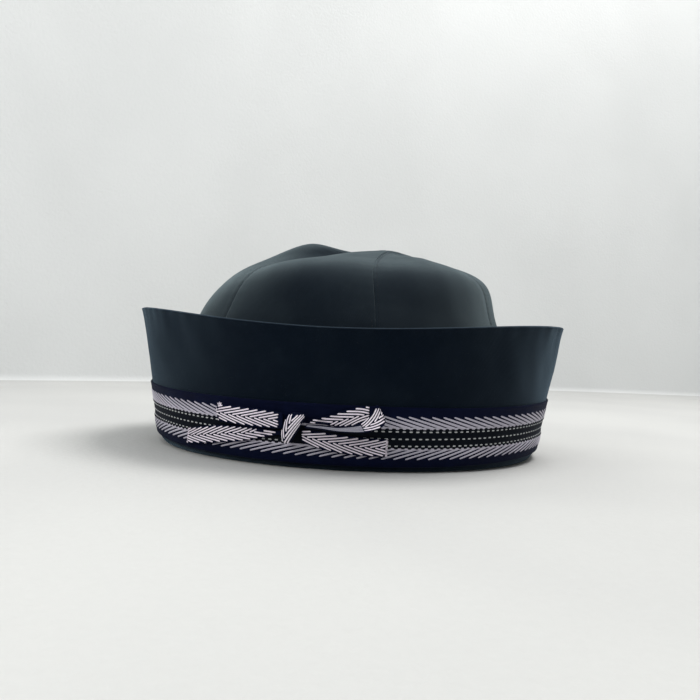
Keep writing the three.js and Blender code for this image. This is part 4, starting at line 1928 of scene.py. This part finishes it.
        return Bars(start, end, self.loose_width, self.loose_height, steps=8, tip=0.15).patch(face)


@dataclass
class Bow:
    """The narrow ribbon's bow: a pressed loop, an open loop, two tails and the knot.

    A side of the knot's chevrons is its sign, its spread for each millimetre up, and the
    width of its stripes. Wrap and limit are how far round the knot they may go, in radians.
    """

    band: BroadRibbon
    layer_gap: float = 0.62
    # The left loop's chevrons stop this far from the knot; the bare dark ground there is painted shade in the
    # gathered folds.
    loop_margin: float = 1.8
    # Between these two lengths the loop's turn has no chevrons; its bare dark ground is painted shade inside
    # the loop.
    loop_turn: tuple[float, float] = (25.8, 29.6)
    loop_nose: float = 0.8
    loop_drop: float = 0.5
    knot_off: float = 3.4
    knot_spine: float = -0.6
    knot_pitch: float = 3.1
    knot_selvedge: float = 0.45
    knot_arm: float = 4.4
    knot_sides: tuple = ((-1, 0.45, 0.62), (1, 0.38, 0.72))
    knot_wrap: float = 1.25
    knot_limit: float = 1.35
    knot_rounding: float = 1.2
    knot_arm_height: float = 0.22
    knot_margin: float = 0.4
    knot_end: float = 0.5
    knot_rows: int = 40
    knot_columns: int = 40

    def pressed_loop(self) -> list[BowRow]:
        """The left loop's way out and back, pressed flat.

        Returns:
            The rows of the way out, the nose and the way home.
        """
        out = [row._replace(off=row.off + self.layer_gap) for row in LEFT_LOOP]
        last = LEFT_LOOP[-1]
        nose = last._replace(along=last.along - self.loop_nose)
        home = []
        for row in reversed(LEFT_LOOP):
            home.append(row._replace(off=row.off - self.layer_gap, height=row.height - self.loop_drop))
        return [*out, nose, *home]

    def strips(self) -> dict[str, Strip]:
        """The four strips by the name of the node that each stands for."""
        return {
            "bow_left_loop": Strip(
                self.band, self.pressed_loop(), arms_run_on=False, front=-1, start_margin=self.loop_margin
            ),
            "bow_left_tail": Strip(
                self.band, LEFT_TAIL, arms_run_on=False, front=-1, cut_end=True, spine_drift=0.6
            ),
            "bow_right_tail": Strip(self.band, RIGHT_TAIL, cut_end=True),
            "bow_right_loop": Strip(
                self.band,
                RIGHT_LOOP,
                arms_run_on=False,
                turns_over=self.loop_turn,
                strand_row=7,
                spine_drift=-0.6,
            ),
        }

    def knot_face(self, turn: np.ndarray, place: np.ndarray, off: np.ndarray) -> np.ndarray:
        """Points off the knot, by angle from its front and place from its foot.

        Args:
            turn: Angle from the front, in radians.
            place: Place up the knot, counted in rows.
            off: Distance off the surface.

        Returns:
            The points.
        """
        height, half, depth, lean = [smooth_through(values, place) for values in zip(*KNOT)]
        along = lean + (half + off) * np.sin(turn)
        return self.band.near_knot(along, height, self.knot_off + (depth + off) * np.cos(turn))

    def knot(self) -> Patch:
        """The knot's rounded body.

        Returns:
            The patch.
        """
        last = len(KNOT) - 1
        place = np.linspace(0, last, self.knot_rows)[:, None]
        turn = np.linspace(-math.pi, math.pi, self.knot_columns, endpoint=False)[None]
        closing = np.sqrt(np.clip(np.minimum(place, last - place) / self.knot_end, 0.02, 1))
        points = self.knot_face(*np.broadcast_arrays(turn, place, (closing - 1) * self.knot_rounding))
        return strip_patch(points[None], pairs(turn * 4, place * 2.5)[None])

    def knot_chevrons(self) -> Patch:
        """Stripes that rise from the knot's spine to its two sides.

        Returns:
            The stripes as one patch.
        """
        heights = [row.height for row in KNOT]

        def half(up: np.ndarray) -> np.ndarray:
            """Half of the knot's width at a height."""
            return smooth_through([row.half for row in KNOT], np.interp(up, heights, range(len(KNOT))))

        def face(across: np.ndarray, up: np.ndarray, off: np.ndarray) -> np.ndarray:
            """The knot's front in millimetres from its spine and up from the ground.

            Args:
                across: Millimetres from the spine.
                up: Millimetres up from the ground.
                off: Distance off the surface.

            Returns:
                The points.
            """
            place = np.interp(up, heights, range(len(KNOT)))
            turn = np.clip((across + self.knot_spine) / half(up), -self.knot_limit, self.knot_limit)
            return self.knot_face(turn, place, off)

        def holds(across: np.ndarray, up: np.ndarray) -> np.ndarray:
            """Whether places lie on the knot's front, clear of its selvedges.

            Args:
                across: Millimetres from the spine.
                up: Millimetres up from the ground.

            Returns:
                True where they do.
            """
            margin = self.knot_margin
            level = (up > heights[0] + margin) & (up < heights[-1] - margin)
            out = np.abs(across + self.knot_spine)
            return level & (out < half(up) * self.knot_wrap - self.knot_selvedge)

        patches = []
        for side, spread, width in self.knot_sides:
            base = np.arange(heights[0] - 5 * self.knot_pitch, heights[-1], self.knot_pitch) + 0.5 * side
            climb = self.knot_arm / spread
            start = pairs(0.1 * side, base)
            end = start + np.array([side * spread * climb, climb])
            lines = clip_lines(start, end, holds)
            arms = Bars(*lines, (width, width), self.knot_arm_height, sink=0.05, steps=14, tip=0.4)
            patches.append(arms.patch(face))
        return join(patches)

    def build(self, shop: Workshop) -> None:
        """Makes the strips, their chevrons and frayed ends, and the knot.

        Args:
            shop: Makes the meshes and materials.
        """
        for seed, (name, strip) in enumerate(self.strips().items()):
            shop.piece(f"{name}_ground", strip.ground(), [NAVY_GROUND], Slot.BOW, [name])
            shop.piece(f"{name}_chevrons", strip.chevrons(), [PALE_FLOATS], Slot.BOW)
            if strip.cut_end:
                shop.piece(f"{name}_fray", strip.fray(seed), [PALE_FLOATS], Slot.BOW)
            if strip.strand_row is not None:
                shop.piece(f"{name}_strand", strip.strand(), [DIM_FLOATS], Slot.BOW)
            if name == "bow_left_loop":
                corner = float(np.interp(len(LEFT_LOOP) - 1, strip.place, strip.run))
                shop.piece(f"{name}_tuft", strip.tuft(seed, corner), [PALE_FLOATS], Slot.BOW)
        shop.piece("bow_knot_body", self.knot(), [NAVY_GROUND], Slot.BOW, ["bow_knot"])
        shop.piece("bow_knot_chevrons", self.knot_chevrons(), [PALE_FLOATS], Slot.BOW)


# ---- studio --------------------------------------------------------------------------


class SoftLight(NamedTuple):
    """A soft rectangular light aimed at the cap."""

    name: str
    place: tuple[float, float, float]
    size: float
    power: float
    tint: Colour


@dataclass
class Studio:
    """Pale floor that curves up into a wall all round, soft lights and the camera."""

    floor_radius: float = 1.62
    floor_middle: tuple[float, float] = (0.84, -0.81)
    bend_radius: float = 0.012
    wall_top: float = 1.7
    lights: tuple = (
        SoftLight("top_light", (0.1, -0.3, 1.4), 1.2, 5.0, (0.98, 0.99, 1.0)),
        SoftLight("left_light", (-0.38, -0.5, 0.42), 0.35, 1.7, (0.98, 0.99, 1.0)),
        SoftLight("right_light", (0.5, 0.2, 1.3), 0.7, 17.0, (1.0, 0.99, 0.98)),
    )
    ambient: float = 0.5
    camera_place: tuple[float, float, float] = (0.01945, -0.3805, 0.0492)
    camera_yaw: float = math.radians(-2.978)
    camera_pitch: float = math.radians(-0.104)
    camera_roll: float = math.radians(2.786)
    lens: float = 36.82

    def floor(self, shop: Workshop) -> None:
        """The floor and its curved wall as one turned sheet.

        Args:
            shop: Makes the meshes and materials.
        """
        bend = np.linspace(0, math.pi / 2, 9)
        radii = [0.0, 0.5, 1.0, *(self.floor_radius - self.bend_radius * (1 - np.sin(bend)))]
        rises = [0.0, 0.0, 0.0, *(self.bend_radius * (1 - np.cos(bend)))]
        radii.append(radii[-1])
        rises.append(self.wall_top)
        turn = np.linspace(0, FULL_TURN, 96, endpoint=False)
        middle_x, middle_y = self.floor_middle
        points = [(middle_x, middle_y, 0.0)]
        faces = []
        dress = []
        for radius, rise in list(zip(radii, rises))[1:]:
            ring = [(radius * math.cos(angle), radius * math.sin(angle), rise) for angle in turn]
            points += [(middle_x + across, middle_y + along, height) for across, along, height in ring]
        count = len(turn)
        for step in range(count):
            beside = (step + 1) % count
            faces.append((0, 1 + step, 1 + beside))
            dress.append(0)
            for row in range(len(radii) - 2):
                low, high = 1 + row * count, 1 + (row + 1) * count
                faces.append((low + step, high + step, high + beside, low + beside))
                dress.append(int(rises[row + 2] > self.bend_radius / 2))
        data = bpy.data.meshes.new("studio_floor")
        data.from_pydata(points, [], faces)
        data.polygons.foreach_set("use_smooth", np.ones(len(faces), bool))
        data.polygons.foreach_set("material_index", dress)
        for finish in (FLOOR_PLASTER, WALL_PLASTER):
            data.materials.append(shop.finish(finish))
        put_in_scene("studio_floor", data)

    def light(self) -> None:
        """Soft lights over and beside the cap, and a faint even light."""
        aim = (Vector(CAD_BOUNDS[0]) + Vector(CAD_BOUNDS[1])) / 2
        for lamp in self.lights:
            data = bpy.data.lights.new(lamp.name, "AREA")
            data.shape = "SQUARE"
            data.size = lamp.size
            data.energy = lamp.power
            data.color = lamp.tint
            made = put_in_scene(lamp.name, data)
            made.location = lamp.place
            made.rotation_euler = (aim - Vector(lamp.place)).to_track_quat("-Z", "Y").to_euler()
        world = bpy.data.worlds.new("soft_room")
        bpy.context.scene.world = world
        world.use_nodes = True
        sky = world.node_tree.nodes["Background"]
        sky.inputs["Color"].default_value = (0.93, 0.97, 1.0, 1.0)
        sky.inputs["Strength"].default_value = self.ambient

    def camera(self) -> None:
        """The camera, low in front of the cap."""
        data = bpy.data.cameras.new("camera")
        data.lens = self.lens
        data.sensor_width = 36.0
        data.clip_start = 0.01
        yaw, pitch, roll = self.camera_yaw, self.camera_pitch, self.camera_roll
        ahead = Vector((math.sin(yaw) * math.cos(pitch), math.cos(yaw) * math.cos(pitch), -math.sin(pitch)))
        level = Vector((math.cos(yaw), -math.sin(yaw), 0.0))
        above = level.cross(ahead)
        right = math.cos(roll) * level + math.sin(roll) * above
        up = -math.sin(roll) * level + math.cos(roll) * above
        made = put_in_scene("camera", data)
        facing = Matrix((right, up, -ahead)).transposed()
        made.matrix_world = Matrix.LocRotScale(Vector(self.camera_place), facing, None)
        bpy.context.scene.camera = made

    def build(self, shop: Workshop) -> None:
        """Makes the camera, the floor and the lights.

        Args:
            shop: Makes the meshes and materials.
        """
        self.camera()
        self.floor(shop)
        self.light()
        bpy.context.scene.view_settings.view_transform = "Standard"


def main() -> None:
    """Builds the studio and the cap."""
    logging.basicConfig(level=logging.INFO, format="%(name)s %(message)s")
    shop = Workshop({})
    Studio().build(shop)
    brim_form = BrimForm.from_frame()
    Crown(CrownForm(brim_form)).build(shop)
    brim = Brim(brim_form).build(shop)
    band = BroadRibbon(brim_form)
    band.build(shop, brim)
    Bow(band).build(shop)


if __name__ == "__main__":
    main()
